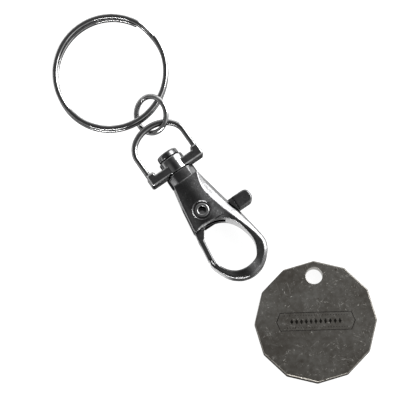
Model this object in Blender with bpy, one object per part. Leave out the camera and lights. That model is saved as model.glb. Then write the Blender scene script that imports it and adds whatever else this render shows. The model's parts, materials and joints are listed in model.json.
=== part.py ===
"""A trolley token and its keyring: split ring, jump ring and a swivel snap clasp.

Everything lies on z = 0, seen from above with +X to the right and +Y away. The keyring fills the upper
left of the layout and the token its lower right, and the origin is the middle of the floor under both.
Lengths are in metres and angles in degrees.
"""

import math

import bmesh
import bpy
from mathutils import Matrix, Vector

# Layout on the floor
CLASP_HEADING = -55.4
FLOOR_GAP = 0.00002
TOKEN_AHEAD = 0.00217
TOKEN_ASIDE = 0.00505

# Token
TOKEN_CORNERS = 12
TOKEN_ACROSS = 0.02343
TOKEN_THICKNESS = 0.0028
TOKEN_HEADING = 1.8
TOKEN_BEVEL = 0.00035
TOKEN_HOLE = 0.00325
TOKEN_HOLE_OFFSET = 0.00883
TOKEN_HOLE_BEVEL = 0.00015

# Split ring: two turns of flat wire, a little oval from use
SPLIT_WIDE = 0.0225
SPLIT_LONG = 0.0236
SPLIT_WIRE_WIDE = 0.00095
SPLIT_WIRE_TALL = 0.0011
SPLIT_TURN_GAP = 0.00012
SPLIT_END_HIGH = 39.0
SPLIT_END_LOW = 63.0
SPLIT_END_ROUND = 0.0003
SPLIT_END_SIZE_share = 0.72
SPLIT_SQUARE_share = 0.6
SPLIT_LINK_DROP = 0.0002
SPLIT_HEADING = 134.4

# Jump ring: one turn of round wire
JUMP_ACROSS = 0.0081
JUMP_WIRE = 0.00103
JUMP_SQUARE_share = 0.0
JUMP_BUTT_GAP = 0.0002
JUMP_BUTT_ANGLE = 6.0
JUMP_ROLL = 38.0
JUMP_ARCH_GAP = 0.00034
JUMP_BAND_OFFSET = 0.00069

# Swivel bail
BAIL_WIDTH = 0.01182
BAIL_HEIGHT = 0.01109
BAIL_ARM = 0.00637
BAIL_ARM_WIDE = 0.0010
BAIL_ARM_INSET = 0.00006
BAIL_TOP_WIDE = 0.0012
BAIL_ARM_DEEP = 0.00145
BAIL_SQUARE_share = 0.35
BAIL_BASE_TALL = 0.00257
BAIL_BASE_DEEP = 0.0042
BAIL_BASE_BEVEL = 0.0003
BAIL_BASE_ROUND = 0.0006
BAIL_CORNER_ROUND = 0.00045
BAIL_FOOT_WIDE = 0.0017
BAIL_WAIST_TALL = 0.0018
BAIL_BOSS_ACROSS = 0.0050
BAIL_BOSS_TALL = 0.0030
BAIL_BOSS_PROUD = 0.00007
BAIL_LINK_ANGLE = 16.5

# Swivel rivet
STUD_ACROSS = 0.0024
STUD_HEAD_ACROSS = 0.0043
STUD_HEAD_TALL = 0.0012
STUD_HEAD_EDGE = 0.0004
STUD_HEAD_GAP = 0.0002
STUD_REACH = 0.0042
STUD_PRESS_GAP = 0.00004
STUD_RUNNING_GAP = 0.0001

# Clasp body and hook
EYE_WALL = 0.00095
EYE_REACH = 0.0132
BODY_HALF_WIDTH = 0.0062
BODY_DEEP = 0.0054
BODY_BEVEL = 0.0015
BODY_BEVEL_DROP = 0.0011
HOOK_DEEP = 0.0034
COLLAR_ACROSS = 0.0060
COLLAR_DEEP = 0.0052
COLLAR_GAP = 0.00025
COLLAR_SEAT = 0.00013
COLLAR_BEVEL = 0.0003

# Pivot rivet
PIVOT_REACH = 0.0091
PIVOT_OFFSET = -0.00086
PIVOT_SHANK = 0.0021
PIVOT_HEAD = 0.00285
PIVOT_BORE = 0.0015
PIVOT_BORE_DEEP = 0.0024
PIVOT_RECESS = 0.0034
PIVOT_RECESS_DEEP = 0.00055
PIVOT_RECESS_EASE = 0.00016
PIVOT_SUNK = 0.0001
PIVOT_GAP = 0.00004

# Trigger
CHANNEL_LEAD = 0.0026
LEVER_LEAD = 0.00096
CHANNEL_DEEP = 0.0025
TRIGGER_SIDE_GAP = 0.00015
TRIGGER_HUB = 0.0037
TRIGGER_RUNNING_GAP = 0.00008
TRIGGER_STOP_GAP = 0.00015
LEVER_WIDE = 0.00278
LEVER_TIP = 0.0088
LEVER_ROUND = 0.0011
PAD_START = 0.00535
PAD_DEEP = 0.0034
PAD_BEVEL = 0.00025
GATE_DEEP = 0.0030
GATE_BEVEL = 0.0002
LAP_GAP = 0.00014

# Trigger spring
SPRING_ACROSS = 0.0015
SPRING_WIRE = 0.00028
SPRING_TURNS = 4
SPRING_OFFSET = 0.00278
SPRING_SEAT_GAP = 0.00008
SPRING_TURN_POINTS = 10

# Facets
OVERRUN = 0.002
ROUND_STEPS = 40
SPLIT_STEP_ANGLE = 6.0
JUMP_STEPS = 44
ARCH_STEPS = 20
WIRE_SIDES = 12
CURVE_STEPS = 4
CORNER_STEPS = 4
SHARP_ANGLE = 32.0

# The clasp body's edge as shares of its reach, BODY_HALF_WIDTH and BODY_BEVEL, from the collar
# down the lever's side and round the hook to its nose
OUTER_EDGE_shares = (
    (0.085, 0.440, 0.75), (0.220, 0.570, 1.00), (0.400, 0.720, 1.00), (0.515, 0.830, 0.96),
    (0.680, 0.935, 0.68), (0.790, 0.985, 0.52), (0.845, 0.950, 0.50), (0.902, 0.825, 0.46),
    (0.954, 0.612, 0.42), (0.989, 0.360, 0.38), (1.000, 0.050, 0.36), (0.984, -0.240, 0.36),
    (0.955, -0.430, 0.34), (0.914, -0.600, 0.30), (0.856, -0.735, 0.26), (0.786, -0.840, 0.19),
    (0.740, -0.875, 0.12),
)
# The nose's lip, as shares of the same
NOSE_shares = (
    (0.718, -0.845, 0.08), (0.718, -0.790, 0.08), (0.756, -0.780, 0.08), (0.756, -0.695, 0.08),
)
# The eye's edge from the nose back up to the cheeks' tail, as shares of the same
EYE_EDGE_shares = (
    (0.786, -0.650, 0.17), (0.846, -0.515, 0.17), (0.893, -0.304, 0.17), (0.913, -0.046, 0.17),
    (0.910, 0.207, 0.17), (0.889, 0.424, 0.17), (0.846, 0.560, 0.17), (0.784, 0.659, 0.17),
    (0.722, 0.674, 0.17), (0.644, 0.623, 0.17), (0.566, 0.510, 0.17), (0.502, 0.300, 0.17),
    (0.466, 0.016, 0.17), (0.455, -0.280, 0.17), (0.457, -0.460, 0.15), (0.466, -0.620, 0.09),
)
# The cheeks' tail and the gate's side of the body, back to the collar, as shares of the same
GATE_SIDE_shares = (
    (0.466, -0.680, 0.08), (0.443, -0.705, 0.15), (0.260, -0.590, 0.25), (0.085, -0.440, 0.25),
)
# The two facets of the body's bevel from face to side, as shares of its inset and its drop
BEVEL_FACET_shares = ((1.0, 0.0), (0.4, 0.4), (0.0, 1.0))
PLAIN_BEVEL_shares = ((1.0, 0.0), (0.0, 1.0))
# Where the eye starts, where the back and front stop being flat, and where the hook's depth is
# reached, as shares of the clasp's reach
EYE_START_share = 0.455
FLAT_END_share = 0.450
HOOK_START_share = 0.800

# The trigger's inner plate below the hub, as shares of the same
LEVER_HEEL_share = 0.560
HEEL_EDGE_shares = ((0.452, 0.330), (0.438, -0.120), (0.462, -0.360))
GATE_ROOT_shares = ((0.548, -0.590), (0.528, -0.755), (0.443, -0.690))
# The gate outside the cheeks, as shares of the same: inner edge to the tongue, then the outer edge
GATE_INNER_shares = ((0.540, -0.590), (0.700, -0.680), (0.748, -0.690))
GATE_OUTER_shares = ((0.688, -0.870), (0.524, -0.758))

# Colours and units
MILLIMETRE = 0.001
CHROME_COLOUR = (0.42, 0.42, 0.43, 1.0)
TOKEN_COLOUR = (0.33, 0.305, 0.27, 1.0)
SPRING_COLOUR = (0.42, 0.42, 0.43, 1.0)


def clear_scene():
    """Remove the objects and meshes that a new file starts with."""
    for obj in list(bpy.data.objects):
        bpy.data.objects.remove(obj, do_unlink=True)
    for mesh in list(bpy.data.meshes):
        bpy.data.meshes.remove(mesh)


def finish(name, colour, roughness, metallic):
    """Return a Principled material."""
    material = bpy.data.materials.new(name)
    material.use_nodes = True
    shader = material.node_tree.nodes["Principled BSDF"]
    shader.inputs["Base Color"].default_value = colour
    shader.inputs["Roughness"].default_value = roughness
    shader.inputs["Metallic"].default_value = metallic
    material.diffuse_color = colour
    return material


def frame(name, parent, matrix):
    """Return an empty that carries a moving piece, with matrix as its place in its parent."""
    empty = bpy.data.objects.new(name, None)
    bpy.context.scene.collection.objects.link(empty)
    empty.parent = parent
    empty.matrix_local = matrix
    return empty


def heading(degrees):
    """Return a turn about the vertical."""
    return Matrix.Rotation(math.radians(degrees), 4, "Z")


def mesh_object(name, mesh_builder, parent, material=None):
    """Turn a BMesh into a smooth-shaded object under parent. One without a material is a helper."""
    mesh = bpy.data.meshes.new(name)
    bmesh.ops.recalc_face_normals(mesh_builder, faces=mesh_builder.faces)
    mesh_builder.to_mesh(mesh)
    mesh_builder.free()
    mesh.shade_smooth()
    mesh.set_sharp_from_angle(angle=math.radians(SHARP_ANGLE))
    obj = bpy.data.objects.new(name, mesh)
    bpy.context.scene.collection.objects.link(obj)
    obj.parent = parent
    if material:
        mesh.materials.append(material)
    else:
        obj.hide_render = True
        obj.display_type = "WIRE"
    return obj


def combine(obj, other, operation):
    """Join other to obj or cut it away, with a live Boolean."""
    modifier = obj.modifiers.new(f"{operation.lower()}_{other.name}", "BOOLEAN")
    modifier.operation = operation
    modifier.solver = "EXACT"
    modifier.object = other


def loft(rings, loop=False, caps=None):
    """Return a BMesh through rings of equally many points, closed on itself or capped.

    caps gives the index lists of the faces that close an end ring; by default one face does.
    """
    shape = bmesh.new()
    rows = [[shape.verts.new(point) for point in ring] for ring in rings]
    count = len(rows[0])
    pairs = list(zip(rows, rows[1:]))
    if loop:
        pairs.append((rows[-1], rows[0]))
    for low, high in pairs:
        for i in range(count):
            k = (i + 1) % count
            shape.faces.new((low[i], low[k], high[k], high[i]))
    if not loop:
        for indices in caps or [range(count)]:
            shape.faces.new([rows[0][i] for i in reversed(indices)])
            shape.faces.new([rows[-1][i] for i in indices])
    return shape


def revolve(profile, steps):
    """Return the solid that a profile of (radius, height) points makes about Z, ends on the axis.

    The points start half a step round, so that none lies on the diagonals of the shapes it cuts.
    """
    shape = bmesh.new()
    rows = []
    for radius, height in profile:
        if radius == 0:
            rows.append([shape.verts.new((0, 0, height))])
            continue
        turns = [math.tau * (i + 0.5) / steps for i in range(steps)]
        rows.append(
            [shape.verts.new((radius * math.cos(a), radius * math.sin(a), height)) for a in turns]
        )
    for low, high in zip(rows, rows[1:]):
        for i in range(steps):
            k = (i + 1) % steps
            corners = [low[i % len(low)], low[k % len(low)], high[k % len(high)], high[i % len(high)]]
            shape.faces.new(list(dict.fromkeys(corners)))
    return shape


def lay_along_x(shape):
    """Turn a solid of revolution so that its axis runs along +X."""
    bmesh.ops.rotate(shape, verts=shape.verts, matrix=Matrix.Rotation(math.pi / 2, 3, "Y"))
    return shape


def move(shape, offset):
    """Shift every point of a BMesh."""
    bmesh.ops.translate(shape, verts=shape.verts, vec=offset)
    return shape


def smooth_curve(points, steps):
    """Return points on a Catmull-Rom curve through points, ends included, with any extra columns."""
    last = len(points) - 1
    columns = range(len(points[0]))
    curve = []
    for i in range(last):
        four = [points[min(max(i + k, 0), last)] for k in (-1, 0, 1, 2)]
        for step in range(steps):
            t = step / steps
            weights = (
                (-t + 2 * t**2 - t**3) / 2,
                (2 - 5 * t**2 + 3 * t**3) / 2,
                (t + 4 * t**2 - 3 * t**3) / 2,
                (t**3 - t**2) / 2,
            )
            curve.append([sum(w * p[c] for w, p in zip(weights, four)) for c in columns])
    return curve + [list(points[last])]


def rounded_outline(corners, steps):
    """Return a closed outline through (x, y, radius) corners, each rounded by an arc."""
    outline = []
    count = len(corners)
    for i, (x, y, radius) in enumerate(corners):
        corner = Vector((x, y))
        back = (Vector(corners[i - 1][:2]) - corner).normalized()
        ahead = (Vector(corners[(i + 1) % count][:2]) - corner).normalized()
        if radius == 0:
            outline.append((x, y))
            continue
        half = back.angle(ahead) / 2
        centre = corner + (back + ahead).normalized() * radius / math.sin(half)
        start = corner + back * radius / math.tan(half) - centre
        sweep = start.angle_signed(corner + ahead * radius / math.tan(half) - centre)
        for step in range(steps + 1):
            turned = start.copy()
            turned.rotate(Matrix.Rotation(-sweep * step / steps, 2))
            outline.append(tuple(centre + turned))
    return outline


def outward_normals(outline):
    """Return the outward unit normal at each point of a closed outline that runs anticlockwise."""
    normals = []
    count = len(outline)
    for i, point in enumerate(outline):
        before = (Vector(point[:2]) - Vector(outline[i - 1][:2])).normalized()
        after = (Vector(outline[(i + 1) % count][:2]) - Vector(point[:2])).normalized()
        along = before + after
        normal = Vector((along.y, -along.x)).normalized()
        normals.append(normal)
    return normals


def area(outline):
    """Return the signed area of an outline."""
    return sum(a[0] * b[1] - b[0] * a[1] for a, b in zip(outline, outline[1:] + outline[:1])) / 2


def bevelled_plate(outline, half_depths, insets, drops, facet_shares):
    """Return the rings, back to front, of a plate about z = 0 whose front and back edges are bevelled."""
    if area(outline) < 0:
        outline, half_depths = outline[::-1], half_depths[::-1]
        insets, drops = insets[::-1], drops[::-1]
    normals = outward_normals(outline)
    rings = []
    for side, order in ((-1, facet_shares), (1, facet_shares[::-1])):
        for inset_share, drop_share in order:
            ring = []
            for point, normal, inset, deep, drop in zip(outline, normals, insets, half_depths, drops):
                place = Vector(point[:2]) - normal * inset * inset_share
                ring.append((place.x, place.y, side * (deep - drop * drop_share)))
            rings.append(ring)
    return rings


def even_plate(outline, deep, bevel):
    """Return a BMesh of a plate with one depth and one bevel all round."""
    depths, bevels = [deep / 2] * len(outline), [bevel] * len(outline)
    return loft(bevelled_plate(outline, depths, bevels, bevels, PLAIN_BEVEL_shares))


def oval_section(wide, tall, sides, square_share):
    """Return the (across, up) points of a section between an ellipse, at share 0, and a rectangle."""
    power = 2 / (1 - square_share)
    points = []
    for i in range(sides):
        turn = math.tau * (i + 0.5) / sides
        across, up = math.cos(turn), math.sin(turn)
        size = (abs(across) ** power + abs(up) ** power) ** (-1 / power)
        points.append((across * size * wide / 2, up * size * tall / 2))
    return points


def split_ring_mesh(link_radius):
    """Return the split ring about its link, with +X from the link towards the ring's middle.

    The lower turn starts at SPLIT_END_LOW, runs once round, climbs between the two ends, and
    becomes the upper turn, which stops at SPLIT_END_HIGH.
    """
    half_x, half_y = (SPLIT_WIDE - SPLIT_WIRE_WIDE) / 2, (SPLIT_LONG - SPLIT_WIRE_WIDE) / 2
    climb = SPLIT_WIRE_TALL + SPLIT_TURN_GAP
    climb_start, climb_end = SPLIT_END_HIGH + 360, SPLIT_END_LOW + 360
    first, last = SPLIT_END_LOW, SPLIT_END_HIGH + 720
    count = round((last - first) / SPLIT_STEP_ANGLE)
    place = Matrix.Translation((link_radius, 0, 0)) @ heading(-SPLIT_HEADING)
    section = oval_section(SPLIT_WIRE_WIDE, SPLIT_WIRE_TALL, WIRE_SIDES, SPLIT_SQUARE_share)
    end_turn = math.degrees(SPLIT_END_ROUND / half_x)
    even_run = last - first - 2 * end_turn
    turns = [first, *(first + end_turn + even_run * i / count for i in range(count + 1)), last]
    rings = []
    for i, turn in enumerate(turns):
        angle = math.radians(turn)
        share = min(max((turn - climb_start) / (climb_end - climb_start), 0), 1)
        height = climb * (share * share * (3 - 2 * share) - 0.5)
        middle = Vector((half_x * math.cos(angle), half_y * math.sin(angle), height))
        outward = Vector((half_y * math.cos(angle), half_x * math.sin(angle), 0)).normalized()
        size = SPLIT_END_SIZE_share if i in (0, len(turns) - 1) else 1
        ring = [middle + (outward * across + Vector((0, 0, up))) * size for across, up in section]
        rings.append([place @ point for point in ring])
    return loft(rings)


def jump_ring_mesh():
    """Return the jump ring's turn in the XY plane about z = 0, its butt gap near +X."""
    radius = (JUMP_ACROSS - JUMP_WIRE) / 2
    half_gap = JUMP_BUTT_GAP / 2 / radius
    section = oval_section(JUMP_WIRE, JUMP_WIRE, WIRE_SIDES, JUMP_SQUARE_share)
    rings = []
    for i in range(JUMP_STEPS + 1):
        angle = math.radians(JUMP_BUTT_ANGLE) + half_gap + (math.tau - 2 * half_gap) * i / JUMP_STEPS
        outward = Vector((math.cos(angle), math.sin(angle), 0))
        rings.append([outward * (radius + across) + Vector((0, 0, up)) for across, up in section])
    return loft(rings)


def bail_arch_point(angle):
    """Return the middle of the bail's arch and its outward direction, angle degrees off the top."""
    turn = math.radians(angle)
    half_wide = (BAIL_WIDTH - BAIL_ARM_WIDE) / 2 - BAIL_ARM_INSET
    half_tall = BAIL_HEIGHT - BAIL_ARM - BAIL_TOP_WIDE / 2
    middle = Vector((-BAIL_ARM - half_tall * math.cos(turn), half_wide * math.sin(turn), 0))
    outward = Vector((-half_wide * math.cos(turn), half_tall * math.sin(turn), 0)).normalized()
    return middle, outward


def make_swivel_bail(parent, material):
    """Build the bail: a swept arch on a base bar with feet, and a bored boss on the swivel axis."""
    stations = [bail_arch_point(180 * i / ARCH_STEPS - 90) for i in range(ARCH_STEPS + 1)]
    side = Vector((0, 1, 0))
    foot = (BAIL_WIDTH - BAIL_ARM_WIDE) / 2 - BAIL_ARM_INSET
    seat = -BAIL_BASE_TALL / 2
    stations.insert(0, (Vector((seat, -foot, 0)), -side))
    stations.append((Vector((seat, foot, 0)), side))
    rings = []
    for middle, outward in stations:
        swell = max(-outward.x, 0)
        wide = BAIL_ARM_WIDE + (BAIL_TOP_WIDE - BAIL_ARM_WIDE) * swell
        section = oval_section(wide, BAIL_ARM_DEEP, WIRE_SIDES, BAIL_SQUARE_share)
        rings.append([middle + outward * across + Vector((0, 0, up)) for across, up in section])
    bail = mesh_object("swivel_bail", loft(rings), parent, material)

    half = BAIL_WIDTH / 2
    corners = [
        (0, half, BAIL_CORNER_ROUND), (-BAIL_BASE_TALL, half, BAIL_BASE_ROUND),
        (-BAIL_BASE_TALL, half - BAIL_FOOT_WIDE, BAIL_CORNER_ROUND),
        (-BAIL_WAIST_TALL, half - BAIL_FOOT_WIDE, 0),
    ]
    mirrored = [(x, -y, radius) for x, y, radius in reversed(corners)]
    bar = even_plate(rounded_outline(corners + mirrored, CORNER_STEPS), BAIL_BASE_DEEP, BAIL_BASE_BEVEL)
    combine(bail, mesh_object("bail_bar", bar, parent), "UNION")

    radius, bevel, foot_x = BAIL_BOSS_ACROSS / 2, BAIL_BASE_BEVEL, BAIL_BOSS_PROUD
    profile = [
        (0, -BAIL_BOSS_TALL), (radius - bevel, -BAIL_BOSS_TALL), (radius, bevel - BAIL_BOSS_TALL),
        (radius, foot_x - bevel), (radius - bevel, foot_x), (0, foot_x),
    ]
    boss = lay_along_x(revolve(profile, ROUND_STEPS))
    combine(bail, mesh_object("bail_boss", boss, parent), "UNION")

    bore_radius = STUD_ACROSS / 2 + STUD_RUNNING_GAP
    bore_profile = [
        (0, -BAIL_BOSS_TALL - OVERRUN), (bore_radius, -BAIL_BOSS_TALL - OVERRUN),
        (bore_radius, OVERRUN), (0, OVERRUN),
    ]
    bore = lay_along_x(revolve(bore_profile, ROUND_STEPS))
    combine(bail, mesh_object("bail_bore", bore, parent), "DIFFERENCE")


def make_swivel_rivet(parent, material):
    """Build the stud: a flat round head over the bail's boss, and a shank into the clasp's neck."""
    radius, head = STUD_ACROSS / 2, STUD_HEAD_ACROSS / 2
    under = -BAIL_BOSS_TALL - STUD_HEAD_GAP
    top = under - STUD_HEAD_TALL
    edge = STUD_HEAD_EDGE
    profile = [(0, top), (head - 2 * edge, top)]
    for step in range(CORNER_STEPS + 1):
        turn = math.pi / 2 * step / CORNER_STEPS
        profile.append((head - edge + edge * math.sin(turn), top + edge - edge * math.cos(turn)))
    profile += [(head, under), (radius, under), (radius, STUD_REACH), (0, STUD_REACH)]
    mesh_object("swivel_rivet", lay_along_x(revolve(profile, ROUND_STEPS)), parent, material)


def reach(share):
    """Return a place along the clasp from a share of its reach, with the eye's start after the pivot."""
    eye_start = PIVOT_REACH + PIVOT_RECESS / 2 + EYE_WALL
    if share <= EYE_START_share:
        return eye_start * share / EYE_START_share
    return eye_start + EYE_REACH * (share - EYE_START_share) / (1 - EYE_START_share)


def body_depth(reach_share):
    """Return half the clasp's depth at a share of its reach: flat cheeks, then the slimmer hook."""
    share = (reach_share - FLAT_END_share) / (HOOK_START_share - FLAT_END_share)
    share = min(max(share, 0), 1)
    return (BODY_DEEP + (HOOK_DEEP - BODY_DEEP) * share * share * (3 - 2 * share)) / 2


def zip_band(ring, first, last):
    """Return triangles between the two edges of a band that runs from first and last to its tip."""
    count = len(ring)
    places = [Vector(point) for point in ring]
    triangles = []
    while last - first > 1:
        outer_next = (places[(first + 1) % count] - places[last % count]).length
        inner_next = (places[(last - 1) % count] - places[first % count]).length
        if outer_next <= inner_next:
            triangles.append([first % count, (first + 1) % count, last % count])
            first += 1
        else:
            triangles.append([first % count, (last - 1) % count, last % count])
            last -= 1
    return triangles


def split_where_flat(ring):
    """Return a plate's end face as index lists: the level cheeks, then triangles down the hook."""
    top = max(point[2] for point in ring)
    level = [point[2] == top for point in ring]
    count = len(ring)
    leave = next(i for i in range(count) if level[i] and not level[(i + 1) % count])
    back = next(i for i in range(leave + 1, leave + count) if level[i % count])
    cheeks = [i % count for i in range(back, leave + count + 1)]
    return [cheeks, *zip_band(ring, leave, back)]


def make_hook_body(parent, material):
    """Build the body: a bevelled plate in the hook's outline, with collar, channel and bores."""
    edge = smooth_curve(OUTER_EDGE_shares, CURVE_STEPS) + [list(point) for point in NOSE_shares]
    edge += smooth_curve(EYE_EDGE_shares, CURVE_STEPS) + [list(point) for point in GATE_SIDE_shares]
    outline = [(reach(u), BODY_HALF_WIDTH * v) for u, v, _ in edge]
    depths = [body_depth(u) for u, _, _ in edge]
    insets = [BODY_BEVEL * bevel for _, _, bevel in edge]
    drops = [BODY_BEVEL_DROP * bevel for _, _, bevel in edge]
    rings = bevelled_plate(outline, depths, insets, drops, BEVEL_FACET_shares)
    shape = loft(rings, caps=split_where_flat(rings[-1]))
    body = mesh_object("hook_body", shape, parent, material)

    radius, bevel = COLLAR_ACROSS / 2, COLLAR_BEVEL
    top, bottom = COLLAR_GAP, reach(OUTER_EDGE_shares[0][0]) + COLLAR_SEAT
    profile = [(0, top), (radius - bevel, top), (radius, top + bevel), (radius, bottom), (0, bottom)]
    collar = mesh_object("collar", lay_along_x(revolve(profile, ROUND_STEPS)), parent)
    flats = [
        (top - OVERRUN, -COLLAR_ACROSS, 0), (bottom + OVERRUN, -COLLAR_ACROSS, 0),
        (bottom + OVERRUN, COLLAR_ACROSS, 0), (top - OVERRUN, COLLAR_ACROSS, 0),
    ]
    slab = even_plate(rounded_outline(flats, CORNER_STEPS), COLLAR_DEEP, 0)
    combine(collar, mesh_object("collar_flats", slab, parent), "INTERSECT")
    combine(body, collar, "UNION")

    start = PIVOT_REACH - CHANNEL_LEAD
    stop = PIVOT_REACH + LEVER_LEAD + LEVER_WIDE + TRIGGER_STOP_GAP
    side = BODY_HALF_WIDTH + OVERRUN
    corners = [(start, -side, 0), (stop, -side, 0), (stop, side, 0), (start, side, 0)]
    channel = even_plate(rounded_outline(corners, CORNER_STEPS), CHANNEL_DEEP, 0)
    combine(body, mesh_object("channel", channel, parent), "DIFFERENCE")

    bore_radius = STUD_ACROSS / 2 + STUD_PRESS_GAP
    bore_end = STUD_REACH + STUD_PRESS_GAP
    stud_profile = [(0, -OVERRUN), (bore_radius, -OVERRUN), (bore_radius, bore_end), (0, bore_end)]
    stud_bore = lay_along_x(revolve(stud_profile, ROUND_STEPS))
    combine(body, mesh_object("stud_bore", stud_bore, parent), "DIFFERENCE")

    shank, recess = PIVOT_SHANK / 2 + PIVOT_GAP, PIVOT_RECESS / 2
    face, floor = BODY_DEEP / 2, BODY_DEEP / 2 - PIVOT_RECESS_DEEP
    eased, mouth = face - PIVOT_RECESS_EASE, recess + PIVOT_RECESS_EASE + OVERRUN
    front = [(shank, floor), (recess, floor), (recess, eased), (mouth, face + OVERRUN), (0, face + OVERRUN)]
    pivot_profile = [(radius, -height) for radius, height in reversed(front)] + front
    pivot_bore = move(revolve(pivot_profile, ROUND_STEPS), (PIVOT_REACH, PIVOT_OFFSET, 0))
    combine(body, mesh_object("pivot_bore", pivot_bore, parent), "DIFFERENCE")


def make_pivot_rivet(parent, material):
    """Build the rivet: a low head at the back, and a hollow end rolled over a ring at the front."""
    shank, head, bore = PIVOT_SHANK / 2, PIVOT_HEAD / 2, PIVOT_BORE / 2
    face = BODY_DEEP / 2 - PIVOT_SUNK
    floor = BODY_DEEP / 2 - PIVOT_RECESS_DEEP + PIVOT_GAP
    roll = (face - floor) / 2
    middle = face - roll
    profile = [(0, -face), (head - roll, -face), (head, roll - face), (head, -floor), (shank, -floor)]
    profile.append((shank, floor))
    for step in range(2 * CORNER_STEPS + 1):
        turn = math.pi * (step / CORNER_STEPS - 1) / 2
        profile.append((head - roll + roll * math.cos(turn), middle + roll * math.sin(turn)))
    bottom = face - PIVOT_BORE_DEEP
    profile += [(bore + roll, face), (bore, middle), (bore, bottom), (0, bottom)]
    shape = move(revolve(profile, ROUND_STEPS), (PIVOT_REACH, PIVOT_OFFSET, 0))
    mesh_object("pivot_rivet", shape, parent, material)


def body_point(share):
    """Return a place on the clasp from shares of its reach and half width."""
    return reach(share[0]), BODY_HALF_WIDTH * share[1]


def make_trigger(parent, material):
    """Build the trigger about its pivot: a bored plate in the channel, the gate and the thumb pad."""
    hub = TRIGGER_HUB / 2
    pivot = Vector((PIVOT_REACH, PIVOT_OFFSET, 0))
    lever_start = PIVOT_REACH + LEVER_LEAD
    lever_end = lever_start + LEVER_WIDE
    small, large = PAD_BEVEL, hub - PAD_BEVEL
    corners = [(*body_point(share), large) for share in reversed(HEEL_EDGE_shares[:2])]
    corners = [(*body_point(HEEL_EDGE_shares[2]), small)] + corners
    corners += [(lever_end, BODY_HALF_WIDTH * LEVER_HEEL_share, small)]
    corners += [(lever_end, PAD_START + PAD_BEVEL, 0), (lever_start, PAD_START + PAD_BEVEL, 0)]
    corners += [(lever_start, pivot.y + hub, small)]
    corners += [(pivot.x - hub, pivot.y + hub, large), (pivot.x - hub, pivot.y - hub, large)]
    corners += [(*body_point(share), 0) for share in reversed(GATE_ROOT_shares)]
    outline = rounded_outline(corners, CORNER_STEPS)
    plate = even_plate(outline, CHANNEL_DEEP - 2 * TRIGGER_SIDE_GAP, 0)
    trigger = mesh_object("trigger", move(plate, -pivot), parent, material)

    tongue_end = reach(NOSE_shares[3][0]) - LAP_GAP
    lap = BODY_HALF_WIDTH * NOSE_shares[2][1] + LAP_GAP
    tip = reach(NOSE_shares[0][0]) - LAP_GAP
    gate = [(*body_point(share), 0) for share in GATE_INNER_shares[:2]]
    gate += [(tongue_end, body_point(GATE_INNER_shares[2])[1], GATE_BEVEL), (tongue_end, lap, 0)]
    gate += [(tip, lap, 0), (tip, body_point(GATE_OUTER_shares[0])[1], GATE_BEVEL)]
    gate += [(*body_point(GATE_OUTER_shares[1]), 0)]
    bar = even_plate(rounded_outline(gate, CORNER_STEPS), GATE_DEEP, GATE_BEVEL / 2)
    combine(trigger, mesh_object("gate_bar", move(bar, -pivot), parent), "UNION")

    pad = [
        (lever_start, PAD_START, 0), (lever_end, PAD_START, 0),
        (lever_end, LEVER_TIP, LEVER_ROUND), (lever_start, LEVER_TIP, LEVER_ROUND),
    ]
    thumb = even_plate(rounded_outline(pad, CORNER_STEPS), PAD_DEEP, PAD_BEVEL)
    combine(trigger, mesh_object("thumb_pad", move(thumb, -pivot), parent), "UNION")

    radius, end = PIVOT_SHANK / 2 + TRIGGER_RUNNING_GAP, CHANNEL_DEEP
    bore = revolve([(0, -end), (radius, -end), (radius, end), (0, end)], ROUND_STEPS)
    combine(trigger, mesh_object("trigger_bore", bore, parent), "DIFFERENCE")


def make_trigger_spring(parent, material):
    """Build the coil between the channel's end and the lever, and print its least gap to itself."""
    start = PIVOT_REACH - CHANNEL_LEAD + SPRING_SEAT_GAP + SPRING_WIRE / 2
    end = PIVOT_REACH + LEVER_LEAD - SPRING_SEAT_GAP - SPRING_WIRE / 2
    radius = (SPRING_ACROSS - SPRING_WIRE) / 2
    count = SPRING_TURNS * SPRING_TURN_POINTS
    curve = bpy.data.curves.new("trigger_spring", "CURVE")
    curve.dimensions = "3D"
    curve.bevel_depth = SPRING_WIRE / 2
    curve.bevel_resolution = 1
    curve.use_fill_caps = True
    spline = curve.splines.new("POLY")
    spline.points.add(count)
    route = []
    for i in range(count + 1):
        turn = math.tau * i / SPRING_TURN_POINTS
        across, up = radius * math.cos(turn), radius * math.sin(turn)
        route.append(Vector((start + (end - start) * i / count, SPRING_OFFSET + across, up)))
    for point, place in zip(spline.points, route):
        point.co = (*place, 1)
    half_turn = SPRING_TURN_POINTS // 2
    gaps = [
        (a - b).length - SPRING_WIRE
        for i, a in enumerate(route)
        for b in route[i + half_turn :]
    ]
    print(f"trigger_spring least gap to itself: {min(gaps) / MILLIMETRE:.2f} mm")
    spring = bpy.data.objects.new("trigger_spring", curve)
    bpy.context.scene.collection.objects.link(spring)
    spring.parent = parent
    curve.materials.append(material)


def make_token(parent, material):
    """Build the token: a bevelled prism with a bored and eased hole near one corner."""
    radius = TOKEN_ACROSS / 2
    turns = [math.tau * i / TOKEN_CORNERS for i in range(TOKEN_CORNERS)]
    outline = [(radius * math.cos(a), radius * math.sin(a)) for a in turns]
    plate = even_plate(outline, TOKEN_THICKNESS, TOKEN_BEVEL)
    token = mesh_object("coin", plate, parent, material)
    hole, half, ease = TOKEN_HOLE / 2, TOKEN_THICKNESS / 2, TOKEN_HOLE_BEVEL
    profile = [
        (0, -half - OVERRUN), (hole + ease + OVERRUN, -half - OVERRUN), (hole, ease - half),
        (hole, half - ease), (hole + ease + OVERRUN, half + OVERRUN), (0, half + OVERRUN),
    ]
    cutter = move(revolve(profile, ROUND_STEPS), (0, TOKEN_HOLE_OFFSET, 0))
    combine(token, mesh_object("token_hole", cutter, parent), "DIFFERENCE")


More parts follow.
